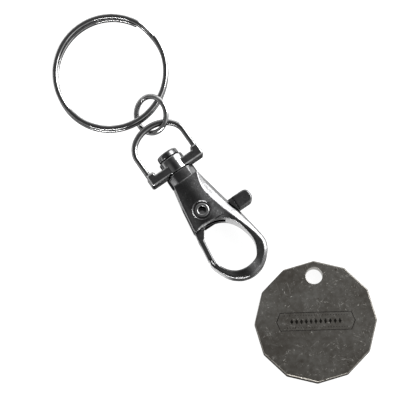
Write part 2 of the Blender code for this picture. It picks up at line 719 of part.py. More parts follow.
def link_radius():
    """Return how far the split ring's wire is from the ring's middle, towards its link."""
    half_x, half_y = (SPLIT_WIDE - SPLIT_WIRE_WIDE) / 2, (SPLIT_LONG - SPLIT_WIRE_WIDE) / 2
    turn = math.radians(SPLIT_HEADING)
    return half_x * half_y / math.hypot(half_y * math.cos(turn), half_x * math.sin(turn))


def jump_hang():
    """Return how far the jump ring's middle is from the middle of the arch that it hangs on."""
    return JUMP_ACROSS / 2 - JUMP_WIRE - BAIL_TOP_WIDE / 2 - JUMP_ARCH_GAP


def main():
    """Lay out the frames from the split ring's corner of the layout, then build every piece."""
    clear_scene()
    chrome = finish("chrome", CHROME_COLOUR, roughness=0.12, metallic=1.0)
    token_metal = finish("token_metal", TOKEN_COLOUR, roughness=0.38, metallic=1.0)
    spring_steel = finish("spring_steel", SPRING_COLOUR, roughness=0.3, metallic=1.0)

    jump_radius = (JUMP_ACROSS - JUMP_WIRE) / 2
    jump_half_tall = jump_radius * math.sin(math.radians(JUMP_ROLL)) + JUMP_WIRE / 2
    middle_height = max(BODY_DEEP / 2, BAIL_BOSS_ACROSS / 2, jump_half_tall) + FLOOR_GAP
    hang = jump_hang()
    arch, outward = bail_arch_point(BAIL_LINK_ANGLE)
    clasp_turn = heading(CLASP_HEADING)
    link = clasp_turn @ (arch + outward * (hang + JUMP_BAND_OFFSET))
    to_middle = heading(SPLIT_HEADING) @ Vector((link_radius(), 0, 0))
    token_reach = reach(1) + TOKEN_AHEAD + TOKEN_ACROSS / 2
    token_half = TOKEN_ACROSS / 2 * math.cos(math.radians(TOKEN_HEADING))
    clasp_place = -to_middle - link
    token_place = clasp_place + clasp_turn @ Vector((token_reach, TOKEN_ASIDE, 0))
    middle_x = (token_place.x + token_half - SPLIT_WIDE / 2) / 2
    middle_y = (token_place.y - token_half + SPLIT_LONG / 2) / 2
    clasp_place += Vector((-middle_x, -middle_y, middle_height))
    token_place += Vector((-middle_x, -middle_y, TOKEN_THICKNESS / 2))

    clasp = frame("clasp_frame", None, Matrix.Translation(clasp_place) @ clasp_turn)
    swivel = frame("swivel_axis", clasp, Matrix.Identity(4))
    pivot = frame("trigger_axis", clasp, Matrix.Translation((PIVOT_REACH, PIVOT_OFFSET, 0)))
    outward_heading = math.degrees(math.atan2(outward.y, outward.x))
    on_arch = Matrix.Translation(arch) @ heading(outward_heading)
    jump = frame("jump_ring_axis", swivel, on_arch)

    ring_half_tall = SPLIT_WIRE_TALL + SPLIT_TURN_GAP / 2
    far_reach = 2 * link_radius() + SPLIT_WIRE_WIDE / 2
    link_height = middle_height - SPLIT_LINK_DROP
    droop = math.asin((link_height - ring_half_tall - FLOOR_GAP) / far_reach)
    link_turn = heading(SPLIT_HEADING - CLASP_HEADING - outward_heading)
    link_place = Vector((hang + JUMP_BAND_OFFSET, 0, -SPLIT_LINK_DROP))
    tilt = Matrix.Rotation(droop, 4, "Y")
    split = frame("split_ring_axis", jump, Matrix.Translation(link_place) @ link_turn @ tilt)

    token_turn = heading(TOKEN_HEADING)
    token = frame("token_frame", None, Matrix.Translation(token_place) @ token_turn)

    jump_roll = Matrix.Rotation(-math.radians(JUMP_ROLL), 4, "X")
    mesh_object("split_ring", split_ring_mesh(link_radius()), split, chrome)
    jump_ring = mesh_object("jump_ring", jump_ring_mesh(), jump, chrome)
    jump_ring.matrix_local = Matrix.Translation((hang, 0, 0)) @ jump_roll
    make_swivel_bail(swivel, chrome)
    make_swivel_rivet(clasp, chrome)
    make_hook_body(clasp, chrome)
    make_pivot_rivet(clasp, chrome)
    make_trigger(pivot, chrome)
    make_trigger_spring(clasp, spring_steel)
    make_token(token, token_metal)


if __name__ == "__main__":
    main()
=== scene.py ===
"""The looks of a trolley token and its keyring clasp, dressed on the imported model.

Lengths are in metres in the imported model's frame: +X to the right, +Y away, +Z up from the floor.
"""

import json
import logging
import math
from dataclasses import dataclass
from enum import Enum
from typing import Any, Sequence

import bmesh
import bpy
from bmesh.types import BMesh
from bpy.types import Material, Mesh, Node, NodeSocket, NodeTree, Object
from mathutils import Matrix, Vector


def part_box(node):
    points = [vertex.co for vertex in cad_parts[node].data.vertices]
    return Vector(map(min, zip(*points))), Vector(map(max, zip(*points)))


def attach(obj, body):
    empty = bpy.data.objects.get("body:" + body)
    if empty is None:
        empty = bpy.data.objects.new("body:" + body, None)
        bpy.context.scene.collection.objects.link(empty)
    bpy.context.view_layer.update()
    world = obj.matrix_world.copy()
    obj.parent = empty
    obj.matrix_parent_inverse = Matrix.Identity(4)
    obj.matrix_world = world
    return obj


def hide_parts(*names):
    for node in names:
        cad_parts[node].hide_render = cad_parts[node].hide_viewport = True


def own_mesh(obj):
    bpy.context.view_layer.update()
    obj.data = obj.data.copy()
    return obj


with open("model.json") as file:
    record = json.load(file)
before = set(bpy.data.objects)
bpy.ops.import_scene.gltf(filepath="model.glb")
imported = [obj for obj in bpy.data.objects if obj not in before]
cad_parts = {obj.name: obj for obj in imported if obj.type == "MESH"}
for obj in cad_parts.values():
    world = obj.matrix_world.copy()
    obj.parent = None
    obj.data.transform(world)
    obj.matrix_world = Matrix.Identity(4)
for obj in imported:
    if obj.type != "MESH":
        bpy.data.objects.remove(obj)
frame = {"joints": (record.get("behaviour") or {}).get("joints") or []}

LOG = logging.getLogger("trolley_token")
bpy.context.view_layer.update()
TOOL_OVERRUN = 0.002  # how far a cutting tool stands out of the piece
WELD_DISTANCE = 0.000004
FLAT_WITHIN = 0.5  # degrees
EASED_FROM = 35  # degrees
FLAT_WEIGHT = 80
BEVEL_SAMPLES = 6

Triple = tuple[float, float, float]
Pairs = list[tuple[float, float]]
Profile = Sequence[tuple[float, float]]
Points = Sequence[Sequence[float]]


# Shapes


def smooth_curve(points: Points, steps: int) -> list[list[float]]:
    """Run a Catmull-Rom curve through points, ends included.

    Args:
        points: Rows of equally many numbers; every column is carried along the curve.
        steps: How many points each span gets.

    Returns:
        The rows of the curve.
    """
    last = len(points) - 1
    curve = []
    for i in range(last):
        four = [points[min(max(i + k, 0), last)] for k in (-1, 0, 1, 2)]
        for step in range(steps):
            t = step / steps
            weights = (
                (-t + 2 * t**2 - t**3) / 2,
                (2 - 5 * t**2 + 3 * t**3) / 2,
                (t + 4 * t**2 - 3 * t**3) / 2,
                (t**3 - t**2) / 2,
            )
            curve.append([sum(w * p[c] for w, p in zip(weights, four)) for c in range(len(points[0]))])
    return curve + [list(points[last])]


def rounded_outline(corners: Sequence[Triple], steps: int = 8) -> Pairs:
    """Round each corner of a closed outline by an arc.

    Args:
        corners: The corners as (x, y, radius).
        steps: How many chords an arc gets.

    Returns:
        The points of the rounded outline.
    """
    outline: Pairs = []
    for i, (x, y, radius) in enumerate(corners):
        corner = Vector((x, y))
        if radius == 0:
            outline.append((x, y))
            continue
        back = (Vector(corners[i - 1][:2]) - corner).normalized()
        ahead = (Vector(corners[(i + 1) % len(corners)][:2]) - corner).normalized()
        half = back.angle(ahead) / 2
        centre = corner + (back + ahead).normalized() * radius / math.sin(half)
        start = corner + back * radius / math.tan(half) - centre
        sweep = start.angle_signed(corner + ahead * radius / math.tan(half) - centre)
        for step in range(steps + 1):
            turned = start.copy()
            turned.rotate(Matrix.Rotation(-sweep * step / steps, 2))
            outline.append(tuple(centre + turned))
    return outline


def eased_path(corners: Sequence[Triple], steps: int = 5) -> Pairs:
    """Round the corners of an open path.

    Args:
        corners: The corners as (x, y, ease); the two ends stay as they are.
        steps: How many chords a rounded corner gets.

    Returns:
        The points of the rounded path.
    """
    points = [tuple(corners[0][:2])]
    for before, here, after in zip(corners, corners[1:], corners[2:]):
        corner = Vector(here[:2])
        if here[2] == 0:
            points.append(tuple(corner))
            continue
        start = corner + (Vector(before[:2]) - corner).normalized() * here[2]
        end = corner + (Vector(after[:2]) - corner).normalized() * here[2]
        for step in range(steps + 1):
            t = step / steps
            points.append(tuple(start.lerp(corner, t).lerp(corner.lerp(end, t), t)))
    return points + [tuple(corners[-1][:2])]


def round_bevel(facets: Profile, ease: float, steps: int = 3) -> Pairs:
    """Round the creases of a bevel, its first and last ones too.

    Args:
        facets: The creases from a face to a side, as shares of the bevel's inset and drop.
        ease: How far along each facet the rounding starts.
        steps: How many chords a crease gets.

    Returns:
        The points of the rounded bevel.
    """
    (inset, drop), (last_inset, last_drop) = facets[0], facets[-1]
    creases = [(*facet, ease) for facet in facets]
    return eased_path([(inset + 1, drop, 0), *creases, (last_inset, last_drop + 1, 0)], steps)[1:-1]


def strip_outline(low: float, high: float, side: float) -> Pairs:
    """Return the corners of a strip from low to high along X, and as far as side across it."""
    return [(low, -side), (high, -side), (high, side), (low, side)]


def rod(radius: float, low: float, high: float) -> Pairs:
    """Return the profile of a plain rod."""
    return [(0, low), (radius, low), (radius, high), (0, high)]


def oval_section(wide: float, tall: float, sides: int, square_share: float) -> Pairs:
    """Draw a section between an ellipse and a rectangle.

    Args:
        wide: Its width.
        tall: Its height.
        sides: How many points it gets.
        square_share: 0 for the ellipse, towards 1 for the rectangle.

    Returns:
        The points of the section.
    """
    power = 2 / (1 - square_share)
    points = []
    for i in range(sides):
        turn = math.tau * (i + 0.5) / sides
        across, up = math.cos(turn), math.sin(turn)
        size = (abs(across) ** power + abs(up) ** power) ** (-1 / power)
        points.append((across * size * wide / 2, up * size * tall / 2))
    return points


def outward_normals(outline: Points) -> list[Vector]:
    """Find the outward direction at each point of a closed anticlockwise outline.

    Args:
        outline: The outline.

    Returns:
        The unit normals.
    """
    normals = []
    for i, point in enumerate(outline):
        before = (Vector(point[:2]) - Vector(outline[i - 1][:2])).normalized()
        after = (Vector(outline[(i + 1) % len(outline)][:2]) - Vector(point[:2])).normalized()
        along = before + after
        normals.append(Vector((along.y, -along.x)).normalized())
    return normals


def signed_area(outline: Points) -> float:
    """Return the signed area of a closed outline."""
    pairs = zip(outline, [*outline[1:], outline[0]])
    return sum(a[0] * b[1] - b[0] * a[1] for a, b in pairs) / 2


def loft(rings: Sequence[Sequence[Any]], caps: Sequence[Sequence[int]] | None = None) -> BMesh:
    """Skin rings of equally many points and close both ends.

    Args:
        rings: The rings, from one end to the other.
        caps: The index lists of the faces that close an end; by default one face does.

    Returns:
        The closed skin.
    """
    shape = bmesh.new()
    rows = [[shape.verts.new(point) for point in ring] for ring in rings]
    count = len(rows[0])
    for low, high in zip(rows, rows[1:]):
        for i in range(count):
            k = (i + 1) % count
            shape.faces.new((low[i], low[k], high[k], high[i]))
    for indices in caps or [range(count)]:
        shape.faces.new([rows[0][i] for i in reversed(indices)])
        shape.faces.new([rows[-1][i] for i in indices])
    return shape


def revolve(profile: Profile, steps: int = 96) -> BMesh:
    """Turn a profile about Z.

    Args:
        profile: The (radius, height) points, with both ends on the axis.
        steps: How many chords a turn gets.

    Returns:
        The closed skin.
    """
    shape = bmesh.new()
    turns = [math.tau * (i + 0.5) / steps for i in range(steps)]
    rows = []
    for radius, height in profile:
        places = [(radius * math.cos(a), radius * math.sin(a), height) for a in turns]
        rows.append([shape.verts.new(place) for place in (places if radius else [(0, 0, height)])])
    for low, high in zip(rows, rows[1:]):
        for i in range(steps):
            k = (i + 1) % steps
            corners = [low[i % len(low)], low[k % len(low)], high[k % len(high)], high[i % len(high)]]
            shape.faces.new(list(dict.fromkeys(corners)))
    return shape


def plate_rings(
    outline: Points, half_depths: Sequence[float], insets: Sequence[float], drops: Sequence[float],
    facets: Profile,
) -> list[list[Triple]]:
    """Find the rings, back to front, of a plate about z = 0 with bevelled edges.

    Args:
        outline: The plate's outline.
        half_depths: Half the plate's depth at each point.
        insets: How far the bevel reaches in at each point.
        drops: How far the bevel falls at each point.
        facets: The bevel from face to side, as shares of its inset and drop.

    Returns:
        The rings of the plate's skin.
    """
    rows = list(zip(outline, half_depths, insets, drops))
    if signed_area(outline) < 0:
        rows.reverse()
    normals = outward_normals([row[0] for row in rows])
    rings = []
    for side, order in ((-1, list(facets)), (1, list(facets)[::-1])):
        for inset_share, drop_share in order:
            ring = []
            for (point, deep, inset, drop), normal in zip(rows, normals):
                place = Vector(point[:2]) - normal * inset * inset_share
                ring.append((place.x, place.y, side * (deep - drop * drop_share)))
            rings.append(ring)
    return rings


def even_plate(outline: Points, deep: float, bevel: float, ease: float = 0.45, steps: int = 4) -> BMesh:
    """Build a plate about z = 0 with one depth and one rounded bevel all round.

    Args:
        outline: The plate's outline.
        deep: Its depth.
        bevel: How far its bevel reaches in and falls.
        ease: How far along the bevel its rounding starts, as a share.
        steps: How many chords a crease of the bevel gets.

    Returns:
        The plate.
    """
    count = len(outline)
    facets = round_bevel(((1, 0), (0, 1)), ease, steps) if bevel else ((0, 0),)
    return loft(plate_rings(outline, [deep / 2] * count, [bevel] * count, [bevel] * count, facets))


def moved(shape: BMesh, offset: Sequence[float]) -> BMesh:
    """Shift every point of a shape."""
    bmesh.ops.translate(shape, verts=shape.verts, vec=offset)
    return shape


def settle(shape: BMesh, mesh: Mesh, place: Matrix) -> None:
    """Write a shape to a mesh, in its place and with its faces outward.

    Args:
        shape: The closed shape, which is used up.
        mesh: The mesh that takes it.
        place: Where the shape goes.
    """
    bmesh.ops.transform(shape, matrix=place, verts=shape.verts)
    bmesh.ops.recalc_face_normals(shape, faces=shape.faces)
    shape.to_mesh(mesh)
    shape.free()


def solid(name: str, shape: BMesh, place: Matrix) -> Object:
    """Make a shape an object that sits at the origin, with its place in its mesh.

    Args:
        name: The piece's name.
        shape: The closed shape, which is used up.
        place: Where the shape goes.

    Returns:
        The object.
    """
    mesh = bpy.data.meshes.new(name)
    settle(shape, mesh, place)
    obj = bpy.data.objects.new(name, mesh)
    bpy.context.scene.collection.objects.link(obj)
    return obj


class Join(Enum):
    """How one shape is put to another."""

    ADD = "UNION"
    CUT = "DIFFERENCE"
    KEEP_COMMON = "INTERSECT"


def combine(obj: Object, tool: Object, how: Join) -> None:
    """Put tool to obj and remove tool.

    Args:
        obj: The piece that is changed.
        tool: The shape put to it.
        how: What is done with the two.
    """
    modifier = obj.modifiers.new(how.name.lower(), "BOOLEAN")
    modifier.operation = how.value
    modifier.solver = "EXACT"
    modifier.object = tool
    bake_modifiers(obj)
    bpy.data.objects.remove(tool)


def bake_modifiers(obj: Object) -> None:
    """Turn a piece with live modifiers into a plain mesh.

    Args:
        obj: The piece.
    """
    bpy.context.view_layer.update()
    evaluated = obj.evaluated_get(bpy.context.evaluated_depsgraph_get())
    mesh = bpy.data.meshes.new_from_object(evaluated)
    obj.modifiers.clear()
    obj.data = mesh
    mesh.name = obj.name


def even_flats(obj: Object) -> None:
    """Let the large faces of a piece set the shading normals, so that flats stay even.

    Args:
        obj: The piece.
    """
    weighted = obj.modifiers.new("even_flats", "WEIGHTED_NORMAL")
    weighted.keep_sharp = True
    weighted.weight = FLAT_WEIGHT
    bake_modifiers(obj)


def ease_edges(obj: Object, width: float) -> None:
    """Round a piece's sharp edges a little and give its flats even shading.

    Args:
        obj: The piece.
        width: How wide the rounding is.
    """
    shape = bmesh.new()
    shape.from_mesh(obj.data)
    bmesh.ops.remove_doubles(shape, verts=shape.verts, dist=WELD_DISTANCE)
    bmesh.ops.dissolve_degenerate(shape, edges=shape.edges, dist=WELD_DISTANCE)
    flat = math.radians(FLAT_WITHIN)
    bmesh.ops.dissolve_limit(shape, angle_limit=flat, verts=shape.verts, edges=shape.edges)
    shape.to_mesh(obj.data)
    shape.free()
    obj.data.shade_smooth()
    bevel = obj.modifiers.new("eased_edges", "BEVEL")
    bevel.width = width
    bevel.segments = 2
    bevel.limit_method = "ANGLE"
    bevel.angle_limit = math.radians(EASED_FROM)
    bevel.miter_outer = "MITER_ARC"
    even_flats(obj)


def shade(obj: Object, angle: float) -> None:
    """Shade a piece smoothly but for its sharper edges.

    Args:
        obj: The piece.
        angle: The least turn of an edge that stays sharp, in degrees.
    """
    obj.data.shade_smooth()
    obj.data.set_sharp_from_angle(angle=math.radians(angle))
    even_flats(obj)


# Places


@dataclass(frozen=True)
class Layout:
    """Where each sub-assembly lies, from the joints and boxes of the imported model."""

    clasp: Matrix
    trigger: Matrix
    jump: Matrix
    split: Matrix
    coin: Matrix

    COIN_HEADING = 1.8  # degrees

    @staticmethod
    def axes(origin: Sequence[float], x_axis: Vector, y_axis: Vector) -> Matrix:
        """Return the place with these axes."""
        turn = Matrix((x_axis, y_axis, x_axis.cross(y_axis))).transposed().to_4x4()
        return Matrix.Translation(origin) @ turn

    @classmethod
    def from_frame(cls) -> "Layout":
        """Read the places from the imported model.

        Returns:
            The layout.
        """
        joints = {joint["name"]: joint for joint in frame["joints"]}
        up = Vector((0, 0, 1))
        along = Vector(joints["bail_swivel"]["axis"]).normalized()
        names = ("bail_swivel", "trigger_pivot")
        places = [cls.axes(joints[name]["pos_m"], along, up.cross(along)) for name in names]
        for name in ("jump_ring_swing", "split_ring_swing"):
            across = Vector(joints[name]["axis"]).normalized()
            places.append(cls.axes(joints[name]["pos_m"], across.cross(up), across))
        low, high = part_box("coin")
        turn = Matrix.Rotation(math.radians(cls.COIN_HEADING), 4, "Z")
        return cls(*places, Matrix.Translation((low + high) / 2) @ turn)


@dataclass
class SubAssembly:
    """What every sub-assembly has: its place and the finish of its pieces."""

    place: Matrix
    finish: Material

    def solid(self, name: str, shape: BMesh) -> Object:
        """Make a shape an object in this place."""
        return solid(name, shape, self.place)

    def turned(self, name: str, profile: Profile) -> Object:
        """Turn a profile about this place's X axis.

        Args:
            name: The piece's name.
            profile: The (radius, reach) points, with both ends on the axis.

        Returns:
            The object.
        """
        shape = revolve(profile)
        bmesh.ops.rotate(shape, verts=shape.verts, matrix=Matrix.Rotation(math.pi / 2, 3, "Y"))
        return self.solid(name, shape)

    def dress(self, obj: Object, slot: str, body: str, *nodes: str) -> None:
        """Give a piece its finish, its body and the nodes that it stands for.

        Args:
            obj: The finished piece.
            slot: The record's material slot; not used.
            body: The body that it rides on.
            nodes: The nodes that it replaces.
        """
        obj.data.materials.clear()
        obj.data.materials.append(self.finish)
        if nodes:
            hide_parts(*nodes)
        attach(obj, body)
        LOG.info("%s: %d faces, rides on %s", obj.name, len(obj.data.polygons), body)


# Finishes


class NodeBench:
    """Adds nodes to one tree and links them."""

    def __init__(self, tree: NodeTree) -> None:
        """Take the tree to work on."""
        self.tree = tree

    def fill(self, node: Node, sockets: dict[Any, Any]) -> None:
        """Fill a node's inputs.

        Args:
            node: The node.
            sockets: What goes into its inputs: a value, or the socket of another node.
        """
        for key, value in sockets.items():
            if isinstance(value, NodeSocket):
                self.tree.links.new(value, node.inputs[key])
            else:
                node.inputs[key].default_value = value

    def add(self, kind: str, sockets: dict[Any, Any] | None = None, **settings: Any) -> Node:
        """Add a node.

        Args:
            kind: The node's type.
            sockets: What goes into its inputs.
            settings: The node's own properties.

        Returns:
            The node.
        """
        node = self.tree.nodes.new(kind)
        for name, value in settings.items():
            setattr(node, name, value)
        self.fill(node, sockets or {})
        return node

    def math(self, operation: str, *values: Any, clamp: bool = False) -> NodeSocket:
        """Add a Math node and return its result."""
        sockets = dict(enumerate(values))
        return self.add("ShaderNodeMath", sockets, operation=operation, use_clamp=clamp).outputs[0]

    def vector(self, operation: str, first: Any, second: Any) -> NodeSocket:
        """Add a Vector Math node and return its number."""
        return self.add("ShaderNodeVectorMath", {0: first, 1: second}, operation=operation).outputs["Value"]

    def xyz(self, x: Any, y: Any, z: Any) -> NodeSocket:
        """Join three numbers to a vector."""
        return self.add("ShaderNodeCombineXYZ", {0: x, 1: y, 2: z}).outputs[0]

    def height(self, vector: Any) -> NodeSocket:
        """Return a vector's third number."""
        return self.add("ShaderNodeSeparateXYZ", {0: vector}).outputs[2]

    def mix(self, factor: Any, first: Any, second: Any) -> NodeSocket:
        """Mix two colours and return the result."""
        sockets = {0: factor, 6: first, 7: second}
        return self.add("ShaderNodeMix", sockets, data_type="RGBA").outputs[2]

    def spread(self, value: Any, low: Any, high: Any, start: Any, end: Any, **settings: Any) -> NodeSocket:
        """Map low..high to start..end, clamped, and return the result."""
        sockets = {0: value, 1: low, 2: high, 3: start, 4: end}
        return self.add("ShaderNodeMapRange", sockets, **settings).outputs[0]

    def noise(self, place: Any, scale: Any, detail: float = 3, rough: float = 0.55) -> NodeSocket:
        """Add a noise texture and return its value."""
        sockets = {"Vector": place, "Scale": scale, "Detail": detail, "Roughness": rough}
        return self.add("ShaderNodeTexNoise", sockets).outputs["Fac"]


class EffectKind(Enum):
    """The wear effects that several finishes share."""

    SCRATCHES = "fine scratches"
    MOTTLE = "casting mottle"
    EDGE_WEAR = "edge wear"
    SPECKS = "specks and pits"


class Effects:
    """The shader groups of the wear effects, each built once."""

    HAIRLINE_SETS = ((18.0, 0.0), (74.0, 3.1), (141.0, 7.7))  # turn in degrees, shift
    HAIRLINE_TILT = (0.35, 0.25)
    HAIRLINE_EDGE = 0.07
    PATCH_SCALE, PATCH_STEP = 420.0, 60
    PATCH_EDGE = (0.48, 0.62)
    FINE_SHARE = 0.45
    TONE_RANGE = (0.34, 0.66)
    BENT_RANGE = (0.9, 0.999)
    BREAK_RANGE = (0.38, 0.56)
    LEAST_SPECK = 0.35

    def __init__(self) -> None:
        """Build the groups."""
        builders = (self.scratches, self.mottle, self.edge_wear, self.specks)
        self.trees = {kind: build() for kind, build in zip(EffectKind, builders)}

    def place(self, bench: NodeBench, kind: EffectKind, **sockets: Any) -> Any:
        """Place an effect in a material and return its outputs."""
        return bench.add("ShaderNodeGroup", sockets, node_tree=self.trees[kind]).outputs

    @staticmethod
    def blank(kind: EffectKind, inputs: dict[str, float], *outputs: str) -> tuple[NodeBench, Any, Node]:
        """Start a group.

        Args:
            kind: The effect.
            inputs: The float inputs with their usual values, besides Place.
            outputs: The names of its outputs.

        Returns:
            The node bench, the sockets of the group's inputs and its output node.
        """
        tree = bpy.data.node_groups.new(kind.value, "ShaderNodeTree")
        tree.interface.new_socket("Place", in_out="INPUT", socket_type="NodeSocketVector")
        for name, value in inputs.items():
            socket = tree.interface.new_socket(name, in_out="INPUT", socket_type="NodeSocketFloat")
            socket.default_value = value
        for name in outputs:
            tree.interface.new_socket(name, in_out="OUTPUT", socket_type="NodeSocketFloat")
        bench = NodeBench(tree)
        return bench, bench.add("NodeGroupInput").outputs, bench.add("NodeGroupOutput")

    def scratches(self) -> NodeTree:
        """Build hairlines in three directions, thinned out by a soft patchwork.

        Returns:
            The group.
        """
        inputs = {"Length": 220.0, "Fineness": 11000.0, "Amount": 0.5, "Cut": 0.68}
        bench, start, end = self.blank(EffectKind.SCRATCHES, inputs, "Mask")
        total: Any = None
        for turn, shift in self.HAIRLINE_SETS:
            mapping = {"Vector": start["Place"], "Rotation": (*self.HAIRLINE_TILT, math.radians(turn))}
            turned = bench.add("ShaderNodeMapping", mapping).outputs[0]
            scale = bench.xyz(start["Length"], start["Fineness"], start["Length"])
            sockets = {0: turned, 1: scale, 2: (shift, shift, shift)}
            stretched = bench.add("ShaderNodeVectorMath", sockets, operation="MULTIPLY_ADD").outputs[0]
            streak = bench.noise(stretched, 1.0, 2, 0.4)
            full = bench.math("ADD", start["Cut"], self.HAIRLINE_EDGE)
            lines = bench.spread(streak, start["Cut"], full, 0.0, 1.0)
            patch = bench.noise(turned, self.PATCH_SCALE + self.PATCH_STEP * shift, 2)
            thinned = bench.math("MULTIPLY", lines, bench.spread(patch, *self.PATCH_EDGE, 0.0, 1.0))
            total = thinned if total is None else bench.math("MAXIMUM", total, thinned)
        bench.fill(end, {"Mask": bench.math("MULTIPLY", total, start["Amount"], clamp=True)})
        return bench.tree

    def mottle(self) -> NodeTree:
        """Build the uneven tone and the shallow waves of plated casting.

        Returns:
            The group.
        """
        bench, start, end = self.blank(EffectKind.MOTTLE, {"Coarse": 350.0, "Fine": 1700.0}, "Tone", "Waves")
        coarse = bench.noise(start["Place"], start["Coarse"], 2, 0.5)
        fine = bench.noise(start["Place"], start["Fine"], 4, 0.6)
        rest = bench.math("MULTIPLY", coarse, 1 - self.FINE_SHARE)
        blend = bench.math("MULTIPLY_ADD", fine, self.FINE_SHARE, rest)
        bench.fill(end, {"Tone": bench.spread(blend, *self.TONE_RANGE, 0.0, 1.0), "Waves": coarse})
        return bench.tree

    def edge_wear(self) -> NodeTree:
        """Build the mask of rubbed edges, broken up by noise.

        Returns:
            The group.
        """
        bench, start, end = self.blank(EffectKind.EDGE_WEAR, {"Reach": 0.00015, "Breaks": 2600.0}, "Mask")
        rounded = bench.add("ShaderNodeBevel", {"Radius": start["Reach"]}, samples=BEVEL_SAMPLES)
        true = bench.add("ShaderNodeNewGeometry").outputs["Normal"]
        dot = bench.vector("DOT_PRODUCT", rounded.outputs[0], true)
        bent = bench.spread(dot, *self.BENT_RANGE, 1.0, 0.0)
        breaks = bench.spread(bench.noise(start["Place"], start["Breaks"]), *self.BREAK_RANGE, 0.5, 1.0)
        bench.fill(end, {"Mask": bench.math("MULTIPLY", bent, breaks, clamp=True)})
        return bench.tree

    def specks(self) -> NodeTree:
        """Build scattered round specks of uneven size.

        Returns:
            The group.
        """
        inputs = {"Density": 900.0, "Size": 0.16, "Share": 0.12}
        bench, start, end = self.blank(EffectKind.SPECKS, inputs, "Mask")
        sockets = {"Vector": start["Place"], "Scale": start["Density"]}
        cells = bench.add("ShaderNodeTexVoronoi", sockets).outputs
        parts = bench.add("ShaderNodeSeparateColor", {0: cells["Color"]}).outputs
        chosen = bench.math("LESS_THAN", parts[0], start["Share"])
        size = bench.math("MULTIPLY", start["Size"], bench.math("ADD", parts[1], self.LEAST_SPECK))
        inside = bench.math("LESS_THAN", cells["Distance"], size)
        bench.fill(end, {"Mask": bench.math("MULTIPLY", chosen, inside)})
        return bench.tree


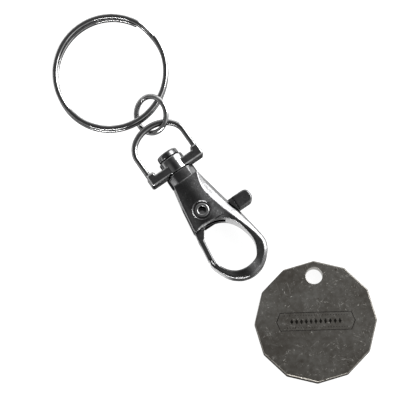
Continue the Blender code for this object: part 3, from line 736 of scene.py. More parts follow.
@dataclass(frozen=True)
class PlatedFinish:
    """Bright or antiqued plating: a tone that wanders, hairlines, specks and rubbed edges, with painted
    shade on upright sides and painted highlights on wire shoulders.
    """

    name: str
    dark: Triple
    light: Triple
    wear_and_highlight: Triple
    roughness: tuple[float, float]
    scratch_amount: float
    wave_height: float
    speck_share: float
    scratch_lift: float = 0.0000010
    scratch_length: float = 220.0
    scratch_fineness: float = 11000.0
    nick_amount: float = 0.3
    nick_length: float = 1500.0
    nick_fineness: float = 8000.0
    nick_cut: float = 0.68
    coarse: float = 350.0
    fine: float = 1700.0
    grain_height: float = 0.0
    grain_scale: float = 9000.0
    wear_reach: float = 0.00012
    # This field sets a painted highlight on the shoulders of wires.
    shoulder_highlight_share: float = 0.0
    # The next two fields set painted shade on upright sides: a darker colour and a darker specular tint.
    side_shade_share: float = 1.0
    side_shade_glance: float = 0.15
    crown: float = 0.0
    crown_reach: float = 0.0030
    crown_line: Triple = (0.0, 0.0, 0.0)
    # The painted side shade is left out within this reach of this middle point.
    unshaded_middle: Triple = (0.0, 0.0, 0.0)
    unshaded_reach: float = 0.0

    # SIDE_RANGE and the value after it shape the painted side shade.
    SIDE_RANGE = (0.30, 0.62)
    UNSHADED_EDGE = 1.1
    # The SHOULDER values place the painted highlight on wire shoulders.
    SHOULDER_TOP = (0.93, 0.99)
    SHOULDER_FOOT = (0.62, 0.72)
    SHOULDER_PATCH = 420.0
    SHOULDER_BREAKS = (0.36, 0.52, 0.35, 1.0)
    SPECK_TONE = 0.45
    SPECK_ROUGHNESS = 0.3
    SCRATCH_ROUGHNESS = 0.16

    def side_shade_mask(self, bench: NodeBench, upright: NodeSocket, place: NodeSocket) -> NodeSocket:
        """Mask the upright sides for painted shade, except within a reach of one middle point.

        Args:
            bench: The material's node bench.
            upright: How far the surface faces up or down, from 0 to 1.
            place: The point on the surface.

        Returns:
            The mask, 1 on a side with painted shade.
        """
        side = bench.spread(upright, *self.SIDE_RANGE, 1.0, 0.0)
        if not self.unshaded_reach:
            return side
        away = bench.vector("DISTANCE", place, self.unshaded_middle)
        kept = bench.spread(away, self.unshaded_reach, self.unshaded_reach * self.UNSHADED_EDGE, 0.0, 1.0)
        return bench.math("MULTIPLY", side, kept)

    def shoulder_highlight_mask(self, bench: NodeBench, upright: NodeSocket, place: NodeSocket) -> NodeSocket:
        """Mask the shoulders of a wire for a painted highlight, found from how far the surface faces up.

        Args:
            bench: The material's node bench.
            upright: How far the surface faces up or down, from 0 to 1.
            place: The point on the surface.

        Returns:
            The mask, up to the highlight's share on a shoulder.
        """
        inner = bench.spread(upright, *self.SHOULDER_TOP, 1.0, 0.0)
        outer = bench.spread(upright, *self.SHOULDER_FOOT, 0.0, 1.0)
        breaks = bench.spread(bench.noise(place, self.SHOULDER_PATCH, 2), *self.SHOULDER_BREAKS)
        shoulder = bench.math("MULTIPLY", inner, outer)
        return bench.math("MULTIPLY", shoulder, bench.math("MULTIPLY", breaks, self.shoulder_highlight_share))

    def crowned(self, bench: NodeBench, place: NodeSocket) -> NodeSocket:
        """Let a face fall gently off to both sides of the clasp's axis.

        Args:
            bench: The material's node bench.
            place: The point on the surface.

        Returns:
            The height of the face there.
        """
        x, y, middle = self.crown_line
        across = bench.vector("DOT_PRODUCT", place, (x, y, 0))
        away = bench.math("ABSOLUTE", bench.math("SUBTRACT", across, middle))
        away = bench.math("MINIMUM", away, self.crown_reach)
        away = bench.math("MULTIPLY", away, math.pi / self.crown_reach)
        return bench.math("MULTIPLY", bench.math("COSINE", away), self.crown)

    def material(self, effects: Effects) -> Material:
        """Build the material.

        Args:
            effects: The shared shader groups.

        Returns:
            The material.
        """
        material = bpy.data.materials.new(self.name)
        material.use_nodes = True
        bench = NodeBench(material.node_tree)
        coordinates = bench.add("ShaderNodeTexCoord").outputs
        place, upright = coordinates["Object"], bench.math("ABSOLUTE", bench.height(coordinates["Normal"]))
        mottle = effects.place(bench, EffectKind.MOTTLE, Place=place, Coarse=self.coarse, Fine=self.fine)
        hairlines = effects.place(
            bench, EffectKind.SCRATCHES, Place=place, Length=self.scratch_length,
            Fineness=self.scratch_fineness, Amount=self.scratch_amount,
        )
        nicks = effects.place(
            bench, EffectKind.SCRATCHES, Place=place, Length=self.nick_length,
            Fineness=self.nick_fineness, Amount=self.nick_amount, Cut=self.nick_cut,
        )
        scratches = bench.math("MAXIMUM", hairlines["Mask"], nicks["Mask"])
        wear_and_highlight = effects.place(bench, EffectKind.EDGE_WEAR, Place=place, Reach=self.wear_reach)["Mask"]
        specks = effects.place(bench, EffectKind.SPECKS, Place=place, Share=self.speck_share)["Mask"]
        # Painted highlight: wire shoulders join the edge wear and take its light colour.
        if self.shoulder_highlight_share:
            wear_and_highlight = bench.math("MAXIMUM", wear_and_highlight, self.shoulder_highlight_mask(bench, upright, place))
        # Painted shade: upright sides are darkened, apart from round one middle point.
        side = self.side_shade_mask(bench, upright, place)
        colour = bench.mix(mottle["Tone"], (*self.dark, 1), (*self.light, 1))
        coats = (
            (scratches, self.wear_and_highlight, 1), (specks, self.dark, self.SPECK_TONE), (wear_and_highlight, self.wear_and_highlight, 1),
            # painted shade: upright sides fall towards a darker tone
            (side, self.dark, self.side_shade_share),
        )
        for mask, tone, share in coats:
            colour = bench.mix(mask, colour, (*(c * share for c in tone), 1))
        rough = bench.spread(mottle["Tone"], 0.0, 1.0, *self.roughness)
        rough = bench.math("MULTIPLY_ADD", scratches, self.SCRATCH_ROUGHNESS, rough)
        rough = bench.math("MULTIPLY_ADD", specks, self.SPECK_ROUGHNESS, rough, clamp=True)
        grain = bench.noise(place, self.grain_scale, 3, 0.6)
        height = bench.math("MULTIPLY", mottle["Waves"], self.wave_height)
        height = bench.math("MULTIPLY_ADD", grain, self.grain_height, height)
        height = bench.math("MULTIPLY_ADD", scratches, -self.scratch_lift, height)
        if self.crown:
            height = bench.math("ADD", height, self.crowned(bench, place))
        eased = bench.add("ShaderNodeBevel", {"Radius": self.wear_reach}, samples=BEVEL_SAMPLES).outputs[0]
        sockets = {"Height": height, "Strength": 1.0, "Distance": 1.0, "Normal": eased}
        bump = bench.add("ShaderNodeBump", sockets)
        sockets = {
            "Base Color": colour,
            "Metallic": 1.0,
            "Roughness": rough,
            # painted shade: a darker specular tint on the upright sides
            "Specular Tint": bench.mix(side, (1, 1, 1, 1), (*(self.side_shade_glance,) * 3, 1)),
            "Normal": bump.outputs[0],
        }
        bench.fill(material.node_tree.nodes["Principled BSDF"], sockets)
        return material


@dataclass(frozen=True)
class Finishes:
    """The finishes of the object's pieces."""

    casting: PlatedFinish = PlatedFinish(
        name="nickel_plated_casting", dark=(0.18, 0.18, 0.183), light=(0.31, 0.31, 0.313),
        wear_and_highlight=(0.85, 0.85, 0.85), roughness=(0.09, 0.17), scratch_amount=0.30, scratch_lift=0.0000012,
        wave_height=0.00004, speck_share=0.05, wear_reach=0.00016, grain_height=0.000024,
        grain_scale=6000.0, nick_amount=0.5, nick_cut=0.66, side_shade_share=0.42, crown=0.00017,
        crown_line=(0.82314, 0.56784, -0.002868), unshaded_middle=(0.0034, -0.0104, 0.0027),
        unshaded_reach=0.0056,
    )
    bail: PlatedFinish = PlatedFinish(
        name="nickel_plated_bail", dark=(0.19, 0.19, 0.193), light=(0.33, 0.33, 0.333),
        wear_and_highlight=(0.92, 0.92, 0.92), roughness=(0.08, 0.17), scratch_amount=0.22, scratch_lift=0.0000012,
        wave_height=0.00005, speck_share=0.04, wear_reach=0.00018, grain_height=0.000018,
        grain_scale=6000.0, side_shade_share=0.42, shoulder_highlight_share=0.8,
    )
    wire: PlatedFinish = PlatedFinish(
        name="nickel_plated_wire", dark=(0.20, 0.20, 0.203), light=(0.31, 0.31, 0.313),
        wear_and_highlight=(0.95, 0.95, 0.95), roughness=(0.07, 0.14), scratch_amount=0.2, wave_height=0.00001,
        speck_share=0.03, coarse=260.0, nick_amount=0.1, side_shade_share=0.40, shoulder_highlight_share=0.95,
    )
    rivet: PlatedFinish = PlatedFinish(
        name="bright_rivet_plating", dark=(0.50, 0.50, 0.503), light=(0.68, 0.68, 0.683),
        wear_and_highlight=(0.92, 0.92, 0.92), roughness=(0.09, 0.16), scratch_amount=0.3, wave_height=0.00001,
        speck_share=0.03, side_shade_share=0.30,
    )
    token: PlatedFinish = PlatedFinish(
        name="antiqued_token", dark=(0.205, 0.184, 0.158), light=(0.290, 0.282, 0.262),
        wear_and_highlight=(0.80, 0.78, 0.73), roughness=(0.30, 0.42), scratch_amount=0.55, scratch_lift=0.0000015,
        wave_height=0.000006, speck_share=0.10, coarse=120.0, fine=1100.0, wear_reach=0.00014,
        scratch_length=260.0, scratch_fineness=9000.0, grain_height=0.0000015, nick_amount=1.0,
        nick_cut=0.665, side_shade_share=0.55, unshaded_middle=(0.01928, -0.01568, 0.0014), unshaded_reach=0.0024,
    )
    spring: PlatedFinish = PlatedFinish(
        name="drawn_spring_wire", dark=(0.36, 0.36, 0.37), light=(0.48, 0.48, 0.49),
        wear_and_highlight=(0.60, 0.60, 0.60), roughness=(0.24, 0.36), scratch_amount=0.5, wave_height=0.000004,
        speck_share=0.05,
    )
    etch: PlatedFinish = PlatedFinish(
        name="dark_etching", dark=(0.012, 0.011, 0.010), light=(0.026, 0.024, 0.021),
        wear_and_highlight=(0.07, 0.065, 0.06), roughness=(0.52, 0.66), scratch_amount=0.25, scratch_lift=0.0000008,
        wave_height=0.000003, speck_share=0.05, fine=2600.0,
    )


# Wire rings


class PieceTree:
    """A Geometry Nodes tree with named inputs, which makes plain meshes."""

    SHARP_FROM = 0

    def __init__(self, name: str, counts: Sequence[str], sizes: Sequence[str]) -> None:
        """Start the tree.

        Args:
            name: The tree's name.
            counts: Its whole-number inputs.
            sizes: Its other number inputs.
        """
        self.tree = bpy.data.node_groups.new(name, "GeometryNodeTree")
        kinds = {"Geometry": ["Geometry"], "Int": counts, "Float": sizes, "Material": ["Finish"]}
        for kind, names in kinds.items():
            for socket in names:
                self.tree.interface.new_socket(socket, in_out="INPUT", socket_type="NodeSocket" + kind)
        self.tree.interface.new_socket("Geometry", in_out="OUTPUT", socket_type="NodeSocketGeometry")
        self.bench = NodeBench(self.tree)
        self.start = self.bench.add("NodeGroupInput").outputs

    def close(self, skin: NodeSocket) -> None:
        """End the tree in real geometry with its finish.

        Args:
            skin: The geometry so far.
        """
        real = self.bench.add("GeometryNodeRealizeInstances", {0: skin})
        sockets = {0: real.outputs[0], "Material": self.start["Finish"]}
        dressed = self.bench.add("GeometryNodeSetMaterial", sockets)
        self.bench.add("NodeGroupOutput", {0: dressed.outputs[0]})

    def make(self, name: str, place: Matrix, finish: Material, **sizes: Any) -> Object:
        """Run the tree and return its result as a plain mesh.

        Args:
            name: The piece's name.
            place: Where it goes.
            finish: Its material.
            sizes: The tree's inputs, by name with underscores, angles in radians.

        Returns:
            The piece.
        """
        obj = solid(name, bmesh.new(), place)
        modifier = obj.modifiers.new("piece_tree", "NODES")
        modifier.node_group = self.tree
        values = {"Finish": finish} | {key.replace("_", " "): value for key, value in sizes.items()}
        for item in self.tree.interface.items_tree:
            if item.in_out == "INPUT" and item.name in values:
                modifier[item.identifier] = values[item.name]
        bake_modifiers(obj)
        shape = bmesh.new()
        shape.from_mesh(obj.data)
        settle(shape, obj.data, place)
        if self.SHARP_FROM:
            shade(obj, self.SHARP_FROM)
        return obj


class WireBender(PieceTree):
    """The tree that bends filleted wire into a ring, a double ring or a coil.

    The drift moves the turns before the climb, most of all opposite the held turn.
    """

    SIZES = (
        "Half Wide", "Half Long", "First Turn", "Last Turn", "Climb Start", "Climb End", "Climb", "Rise",
        "Wire Wide", "Wire Tall", "Edge Round", "Drift X", "Drift Y", "Held Turn",
    )
    FILLET_CHORDS = 6
    SHARP_FROM = 50

    def __init__(self) -> None:
        """Build the tree."""
        super().__init__("bent wire", ("Steps",), self.SIZES)
        bench, start = self.bench, self.start
        line = bench.add("GeometryNodeCurvePrimitiveLine", {"End": (1, 0, 0)})
        path = bench.add("GeometryNodeResampleCurve", {"Curve": line.outputs[0], "Count": start["Steps"]})
        share = bench.add("GeometryNodeSplineParameter").outputs["Factor"]
        turn = bench.spread(share, 0.0, 1.0, start["First Turn"], start["Last Turn"])
        across = bench.math("MULTIPLY", bench.math("COSINE", turn), start["Half Wide"])
        along = bench.math("MULTIPLY", bench.math("SINE", turn), start["Half Long"])
        climbing = start["Climb Start"], start["Climb End"]
        climb = bench.spread(turn, *climbing, 0.0, start["Climb"], interpolation_type="SMOOTHSTEP")
        centred = bench.math("MULTIPLY_ADD", start["Climb"], -0.5, climb)
        height = bench.math("MULTIPLY_ADD", share, start["Rise"], centred)
        held = bench.math("COSINE", bench.math("SUBTRACT", turn, start["Held Turn"]))
        loose = bench.math("MULTIPLY_ADD", held, -0.5, 0.5)
        loose = bench.math("MULTIPLY", bench.spread(turn, *climbing, 1.0, 0.0), loose)
        across = bench.math("MULTIPLY_ADD", start["Drift X"], loose, across)
        along = bench.math("MULTIPLY_ADD", start["Drift Y"], loose, along)
        place = bench.xyz(across, along, height)
        bent = bench.add("GeometryNodeSetPosition", {0: path.outputs[0], "Position": place})
        upright = bench.add("GeometryNodeSetCurveNormal", {0: bent.outputs[0]}, mode="Z_UP")
        sockets = {"Width": start["Wire Wide"], "Height": start["Wire Tall"]}
        section = bench.add("GeometryNodeCurvePrimitiveQuadrilateral", sockets)
        sockets = {0: section.outputs[0], "Count": self.FILLET_CHORDS, "Radius": start["Edge Round"]}
        rounded = bench.add("GeometryNodeFilletCurve", sockets, mode="POLY")
        sockets = {0: upright.outputs[0], 1: rounded.outputs[0], "Fill Caps": True}
        self.close(bench.add("GeometryNodeCurveToMesh", sockets).outputs[0])

    @staticmethod
    def round_sizes(radius: float, wire: float) -> dict[str, float]:
        """Return the sizes of a round ring or coil of round wire."""
        sizes = {"Half_Wide": radius, "Half_Long": radius, "Climb_End": math.tau}
        return sizes | {"Wire_Wide": wire, "Wire_Tall": wire, "Edge_Round": wire / 2}


@dataclass
class SplitRing(SubAssembly):
    """Two turns of flat wire with one crossing."""

    wide: float = 0.02247
    long: float = 0.02356
    wire_wide: float = 0.00095
    wire_tall: float = 0.0011
    turn_gap: float = 0.00012
    end_high: float = 39.0
    end_low: float = 63.0
    heading: float = 134.4
    link_height: float = 0.00252
    floor_gap: float = 0.00002
    edge_round: float = 0.00030
    drift: tuple[float, float] = (0.0002, -0.00028)
    steps: int = 460

    def half_sizes(self) -> tuple[float, float]:
        """Return half the width and length of the wire's path."""
        return (self.wide - self.wire_wide) / 2, (self.long - self.wire_wide) / 2

    def link_radius(self) -> float:
        """Find how far the wire is from the ring's middle, towards its link.

        Returns:
            The distance.
        """
        half_x, half_y = self.half_sizes()
        turn = math.radians(self.heading)
        return half_x * half_y / math.hypot(half_y * math.cos(turn), half_x * math.sin(turn))

    def droop(self) -> float:
        """Find how far the ring tilts from its link down to the floor.

        Returns:
            The angle in radians.
        """
        far_reach = 2 * self.link_radius() + self.wire_wide / 2
        half_tall = self.wire_tall + self.turn_gap / 2
        return math.asin((self.link_height - half_tall - self.floor_gap) / far_reach)

    def build(self, bender: WireBender) -> None:
        """Bend the ring and dress it.

        Args:
            bender: The tree that bends wire.
        """
        tilted = self.place @ Matrix.Rotation(self.droop(), 4, "Y")
        middle = Matrix.Translation((self.link_radius(), 0, 0))
        turned = Matrix.Rotation(-math.radians(self.heading), 4, "Z")
        half_wide, half_long = self.half_sizes()
        ring = bender.make(
            "split_ring_wire", tilted @ middle @ turned, self.finish,
            Steps=self.steps, Half_Wide=half_wide, Half_Long=half_long,
            First_Turn=math.radians(self.end_low), Last_Turn=math.radians(self.end_high + 720),
            Climb_Start=math.radians(self.end_high + 360), Climb_End=math.radians(self.end_low + 360),
            Climb=self.wire_tall + self.turn_gap, Wire_Wide=self.wire_wide, Wire_Tall=self.wire_tall,
            Edge_Round=self.edge_round, Drift_X=self.drift[0], Drift_Y=self.drift[1],
            Held_Turn=math.radians(self.heading + 180),
        )
        self.dress(ring, "chrome", "split_ring", "split_ring")


@dataclass
class JumpRing(SubAssembly):
    """One turn of round wire with a butt gap."""

    across: float = 0.0081
    wire: float = 0.00103
    butt_gap: float = 0.0002
    butt_angle: float = 6.0
    roll: float = 38.0
    hang: float = 0.00208
    steps: int = 200

    def build(self, bender: WireBender) -> None:
        """Bend the ring and dress it.

        Args:
            bender: The tree that bends wire.
        """
        radius = (self.across - self.wire) / 2
        half_gap = self.butt_gap / 2 / radius
        hung = Matrix.Translation((self.hang, 0, 0)) @ Matrix.Rotation(-math.radians(self.roll), 4, "X")
        start = math.radians(self.butt_angle)
        ring = bender.make(
            "jump_ring_wire", self.place @ hung, self.finish, Steps=self.steps, First_Turn=start + half_gap,
            Last_Turn=start + math.tau - half_gap, **bender.round_sizes(radius, self.wire),
        )
        self.dress(ring, "chrome", "jump_ring", "jump_ring")


# The swivel


@dataclass
class SwivelBail(SubAssembly):
    """The cast arch on its base bar, with the bored boss that turns on the rivet."""

    width: float = 0.01182
    height: float = 0.01109
    arm: float = 0.00637
    arm_wide: float = 0.0010
    arm_inset: float = 0.00006
    top_wide: float = 0.0012
    arm_deep: float = 0.00145
    square_share: float = 0.35
    base_tall: float = 0.00257
    base_deep: float = 0.0042
    base_bevel: float = 0.0003
    base_round: float = 0.0006
    corner_round: float = 0.00045
    foot_wide: float = 0.0017
    waist_tall: float = 0.0018
    boss_across: float = 0.0050
    boss_tall: float = 0.0030
    boss_proud: float = 0.00007
    bore_across: float = 0.0026
    edge_ease: float = 0.00008
    arch_steps: int = 72
    section_sides: int = 32

    def arch_point(self, angle: float) -> tuple[Vector, Vector]:
        """Find a point of the arch.

        Args:
            angle: How far it is off the top, in degrees.

        Returns:
            The middle of the arch there, and its outward direction.
        """
        turn = math.radians(angle)
        half_wide = (self.width - self.arm_wide) / 2 - self.arm_inset
        half_tall = self.height - self.arm - self.top_wide / 2
        middle = Vector((-self.arm - half_tall * math.cos(turn), half_wide * math.sin(turn), 0))
        outward = Vector((-half_wide * math.cos(turn), half_tall * math.sin(turn), 0)).normalized()
        return middle, outward

    def arch(self) -> Object:
        """Sweep the arch with its two arms down into the base bar.

        Returns:
            The arch.
        """
        angles = [180 * i / self.arch_steps - 90 for i in range(self.arch_steps + 1)]
        side, seat = Vector((0, 1, 0)), -self.base_tall / 2
        foot = (self.width - self.arm_wide) / 2 - self.arm_inset
        stations = [(Vector((seat, -foot, 0)), -side)]
        stations += [self.arch_point(angle) for angle in angles]
        stations.append((Vector((seat, foot, 0)), side))
        rings = []
        for middle, outward in stations:
            wide = self.arm_wide + (self.top_wide - self.arm_wide) * max(-outward.x, 0)
            section = oval_section(wide, self.arm_deep, self.section_sides, self.square_share)
            rings.append([middle + outward * across + Vector((0, 0, up)) for across, up in section])
        return self.solid("bail_casting", loft(rings))

    def bar(self) -> Object:
        """Build the base bar with its two feet.

        Returns:
            The bar.
        """
        half = self.width / 2
        inner = half - self.foot_wide
        corners = [
            (0, half, self.corner_round), (-self.base_tall, half, self.base_round),
            (-self.base_tall, inner, self.corner_round), (-self.waist_tall, inner, 0),
        ]
        mirrored = [(x, -y, radius) for x, y, radius in reversed(corners)]
        outline = rounded_outline(corners + mirrored)
        return self.solid("bail_bar", even_plate(outline, self.base_deep, self.base_bevel))

    def boss(self) -> Object:
        """Build the boss on the swivel axis.

        Returns:
            The boss.
        """
        radius, ease = self.boss_across / 2, self.base_bevel
        corners = [
            (0, -self.boss_tall, 0), (radius, -self.boss_tall, ease), (radius, self.boss_proud, ease),
            (0, self.boss_proud, 0),
        ]
        return self.turned("bail_boss", eased_path(corners))

    def build(self) -> None:
        """Build the bail and dress it."""
        bail = self.arch()
        combine(bail, self.bar(), Join.ADD)
        combine(bail, self.boss(), Join.ADD)
        bore = rod(self.bore_across / 2, -self.boss_tall - TOOL_OVERRUN, TOOL_OVERRUN)
        combine(bail, self.turned("bail_bore", bore), Join.CUT)
        ease_edges(bail, self.edge_ease)
        self.dress(bail, "chrome", "bail", "swivel_bail")


@dataclass
class SwivelRivet(SubAssembly):
    """The headed stud that holds the bail on the clasp's neck."""

    across: float = 0.0024
    head_across: float = 0.0043
    head_tall: float = 0.0012
    head_edge: float = 0.0005
    head_under_edge: float = 0.00012
    neck_edge: float = 0.0001
    end_edge: float = 0.0002
    head_gap: float = 0.0002
    boss_tall: float = 0.0030
    reach: float = 0.0042
    sharp_from: float = 32

    def build(self) -> None:
        """Turn the stud and dress it."""
        radius, head = self.across / 2, self.head_across / 2
        under = -self.boss_tall - self.head_gap
        corners = [
            (0, under - self.head_tall, 0), (head, under - self.head_tall, self.head_edge),
            (head, under, self.head_under_edge), (radius, under, self.neck_edge),
            (radius, self.reach, self.end_edge), (0, self.reach, 0),
        ]
        stud = self.turned("swivel_stud", eased_path(corners))
        shade(stud, self.sharp_from)
        self.dress(stud, "chrome", "clasp", "swivel_rivet")


# The snap clasp


@dataclass
class Clasp(SubAssembly):
    """The clasp's cast body with its hook, and the sizes that the trigger shares with it.

    Rows of the outline are shares of the reach and of the half width, with the bevel's share third.
    """

    eye_wall: float = 0.00095
    eye_reach: float = 0.0132
    half_width: float = 0.0062
    deep: float = 0.0054
    bevel: float = 0.0015
    bevel_drop: float = 0.0011
    bevel_ease: float = 0.07
    edge_ease: float = 0.00006
    hook_deep: float = 0.0034
    collar_across: float = 0.0060
    collar_deep: float = 0.0052
    collar_gap: float = 0.00025
    collar_seat: float = 0.00013
    collar_bevel: float = 0.0003
    stud_bore: float = 0.00248
    stud_end: float = 0.00424
    pivot_reach: float = 0.0091
    pivot_offset: float = -0.00086
    pivot_shank: float = 0.0021
    pivot_recess: float = 0.0034
    recess_deep: float = 0.00055
    recess_ease: float = 0.00016
    pivot_gap: float = 0.00004
    channel_lead: float = 0.0026
    lever_lead: float = 0.00096
    lever_wide: float = 0.00278
    stop_gap: float = 0.00015
    channel_deep: float = 0.0025
    curve_steps: int = 10
    eye_start_share: float = 0.455
    flat_end_share: float = 0.450
    hook_start_share: float = 0.800
    outer_edge: Sequence[Triple] = (
        (0.085, 0.440, 0.02), (0.130, 0.480, 0.62), (0.220, 0.570, 1.25), (0.400, 0.720, 1.30),
        (0.515, 0.830, 1.14), (0.680, 0.935, 0.66), (0.790, 0.985, 0.52), (0.845, 0.950, 0.50),
        (0.902, 0.825, 0.46), (0.954, 0.612, 0.42), (0.989, 0.360, 0.38), (1.000, 0.050, 0.36),
        (0.984, -0.240, 0.36), (0.955, -0.430, 0.34), (0.914, -0.600, 0.30), (0.856, -0.735, 0.26),
        (0.786, -0.840, 0.19), (0.740, -0.875, 0.12),
    )
    nose: Sequence[Triple] = (
        (0.718, -0.845, 0.08), (0.718, -0.790, 0.08), (0.756, -0.780, 0.08), (0.756, -0.695, 0.08),
    )
    eye_edge: Sequence[Triple] = (
        (0.786, -0.650, 0.17), (0.846, -0.515, 0.17), (0.893, -0.304, 0.17), (0.913, -0.046, 0.17),
        (0.910, 0.207, 0.17), (0.889, 0.424, 0.17), (0.846, 0.560, 0.17), (0.784, 0.659, 0.17),
        (0.722, 0.674, 0.17), (0.644, 0.623, 0.17), (0.566, 0.510, 0.17), (0.502, 0.300, 0.17),
        (0.466, 0.016, 0.17), (0.455, -0.280, 0.17), (0.457, -0.460, 0.15), (0.466, -0.620, 0.09),
    )
    gate_side: Sequence[Triple] = (
        (0.466, -0.680, 0.08), (0.443, -0.705, 0.15), (0.260, -0.590, 0.25), (0.085, -0.440, 0.25),
    )
    facets: Profile = ((1.0, 0.0), (0.86, 0.05), (0.72, 0.15), (0.30, 0.50), (0.0, 1.0))

    def reach(self, share: float) -> float:
        """Find a place along the clasp.

        Args:
            share: The share of its reach.

        Returns:
            The distance from the swivel's face.
        """
        eye_start = self.pivot_reach + self.pivot_recess / 2 + self.eye_wall
        if share <= self.eye_start_share:
            return eye_start * share / self.eye_start_share
        beyond = (share - self.eye_start_share) / (1 - self.eye_start_share)
        return eye_start + self.eye_reach * beyond

    def point(self, share: Sequence[float]) -> tuple[float, float]:
        """Return a place on the clasp from shares of its reach and half width."""
        return self.reach(share[0]), self.half_width * share[1]

    def pivot(self) -> Vector:
        """Return the middle of the trigger's pivot."""
        return Vector((self.pivot_reach, self.pivot_offset, 0))

    def channel_start(self) -> float:
        """Return where the channel starts, at the collar's end."""
        return self.pivot_reach - self.channel_lead

    def lever_span(self) -> tuple[float, float]:
        """Return where the lever starts and ends along the clasp."""
        start = self.pivot_reach + self.lever_lead
        return start, start + self.lever_wide

    def half_depth(self, reach_share: float) -> float:
        """Find half the clasp's depth at a share of its reach.

        Args:
            reach_share: The share.

        Returns:
            Half the depth there.
        """
        share = (reach_share - self.flat_end_share) / (self.hook_start_share - self.flat_end_share)
        share = min(max(share, 0), 1)
        return (self.deep + (self.hook_deep - self.deep) * share * share * (3 - 2 * share)) / 2

    @staticmethod
    def zip_band(ring: Points, first: int, last: int) -> list[list[int]]:
        """Cover the band between two edges of a ring by triangles.

        Args:
            ring: The points of the ring.
            first: The point where one edge starts.
            last: The point where the other starts; both run towards the band's tip.

        Returns:
            The triangles, as indices.
        """
        count = len(ring)
        places = [Vector(point) for point in ring]
        triangles = []
        while last - first > 1:
            outer_next = (places[(first + 1) % count] - places[last % count]).length
            inner_next = (places[(last - 1) % count] - places[first % count]).length
            if outer_next <= inner_next:
                triangles.append([first % count, (first + 1) % count, last % count])
                first += 1
            else:
                triangles.append([first % count, (last - 1) % count, last % count])
                last -= 1
        return triangles

    def face_split(self, ring: Points) -> list[list[int]]:
        """Split a face into the level cheeks and triangles down the hook.

        Args:
            ring: The points round the face.

        Returns:
            The faces, as indices.
        """
        top = max(point[2] for point in ring)
        level = [point[2] == top for point in ring]
        count = len(ring)
        leave = next(i for i in range(count) if level[i] and not level[(i + 1) % count])
        back = next(i for i in range(leave + 1, leave + count) if level[i % count])
        cheeks = [i % count for i in range(back, leave + count + 1)]
        return [cheeks, *self.zip_band(ring, leave, back)]

    def casting(self) -> Object:
        """Build the bevelled plate in the hook's outline.

        Returns:
            The plate.
        """
        edge = smooth_curve(self.outer_edge, self.curve_steps) + [list(p) for p in self.nose]
        edge += smooth_curve(self.eye_edge, self.curve_steps) + [list(p) for p in self.gate_side]
        outline = [self.point(row) for row in edge]
        depths = [self.half_depth(row[0]) for row in edge]
        insets = [self.bevel * row[2] for row in edge]
        drops = [self.bevel_drop * row[2] for row in edge]
        rings = plate_rings(outline, depths, insets, drops, round_bevel(self.facets, self.bevel_ease))
        return self.solid("clasp_casting", loft(rings, self.face_split(rings[-1])))

    def collar(self) -> Object:
        """Build the round collar, flattened front and back.

        Returns:
            The collar.
        """
        radius, top = self.collar_across / 2, self.collar_gap
        bottom = self.reach(self.outer_edge[0][0]) + self.collar_seat
        corners = [(0, top, 0), (radius, top, self.collar_bevel), (radius, bottom, 0), (0, bottom, 0)]
        collar = self.turned("collar", eased_path(corners))
        outline = strip_outline(top - TOOL_OVERRUN, bottom + TOOL_OVERRUN, self.collar_across)
        flats = self.solid("collar_flats", even_plate(outline, self.collar_deep, 0))
        combine(collar, flats, Join.KEEP_COMMON)
        return collar

    def cutters(self) -> list[Object]:
        """Build what cuts the channel, the stud's bore and the pivot's bore with its two recesses.

        Returns:
            The cutters.
        """
        stop = self.lever_span()[1] + self.stop_gap
        outline = strip_outline(self.channel_start(), stop, self.half_width + TOOL_OVERRUN)
        channel = self.solid("channel", even_plate(outline, self.channel_deep, 0))
        stud_bore = self.turned("stud_bore", rod(self.stud_bore / 2, -TOOL_OVERRUN, self.stud_end))
        shank, recess = self.pivot_shank / 2 + self.pivot_gap, self.pivot_recess / 2
        face, floor = self.deep / 2, self.deep / 2 - self.recess_deep
        eased, mouth = face - self.recess_ease, recess + self.recess_ease + TOOL_OVERRUN
        front = [
            (shank, floor), (recess, floor), (recess, eased), (mouth, face + TOOL_OVERRUN),
            (0, face + TOOL_OVERRUN),
        ]
        profile = [(wide, -height) for wide, height in reversed(front)] + front
        return [channel, stud_bore, self.solid("pivot_bore", moved(revolve(profile), self.pivot()))]

    def build(self) -> None:
        """Build the body and dress it."""
        body = self.casting()
        combine(body, self.collar(), Join.ADD)
        for cutter in self.cutters():
            combine(body, cutter, Join.CUT)
        ease_edges(body, self.edge_ease)
        self.dress(body, "chrome", "clasp", "hook_body")


@dataclass
class PivotRivet(SubAssembly):
    """The tubular rivet with its rolled end at the front."""

    clasp: Clasp
    head: float = 0.00285
    head_edge: float = 0.0001
    bore: float = 0.0015
    bore_deep: float = 0.0024
    sunk: float = 0.0001
    roll_steps: int = 16
    sharp_from: float = 32

    def build(self) -> None:
        """Turn the rivet and dress it."""
        shank, head, bore = self.clasp.pivot_shank / 2, self.head / 2, self.bore / 2
        face = self.clasp.deep / 2 - self.sunk
        floor = self.clasp.deep / 2 - self.clasp.recess_deep + self.clasp.pivot_gap
        roll = (face - floor) / 2
        middle = face - roll
        profile = eased_path([
            (0, -face, 0), (head, -face, roll), (head, -floor, self.head_edge), (shank, -floor, 0),
            (shank, floor, 0),
        ])
        for step in range(self.roll_steps + 1):
            turn = math.pi * (step / self.roll_steps - 0.5)
            profile.append((head - roll + roll * math.cos(turn), middle + roll * math.sin(turn)))
        for step in range(self.roll_steps // 2 + 1):
            turn = math.pi * step / self.roll_steps
            profile.append((bore + roll - roll * math.sin(turn), middle + roll * math.cos(turn)))
        profile += [(bore, face - self.bore_deep), (0, face - self.bore_deep)]
        rivet = self.solid("pivot_tube", moved(revolve(profile), self.clasp.pivot()))
        shade(rivet, self.sharp_from)
        self.dress(rivet, "chrome", "clasp", "pivot_rivet")


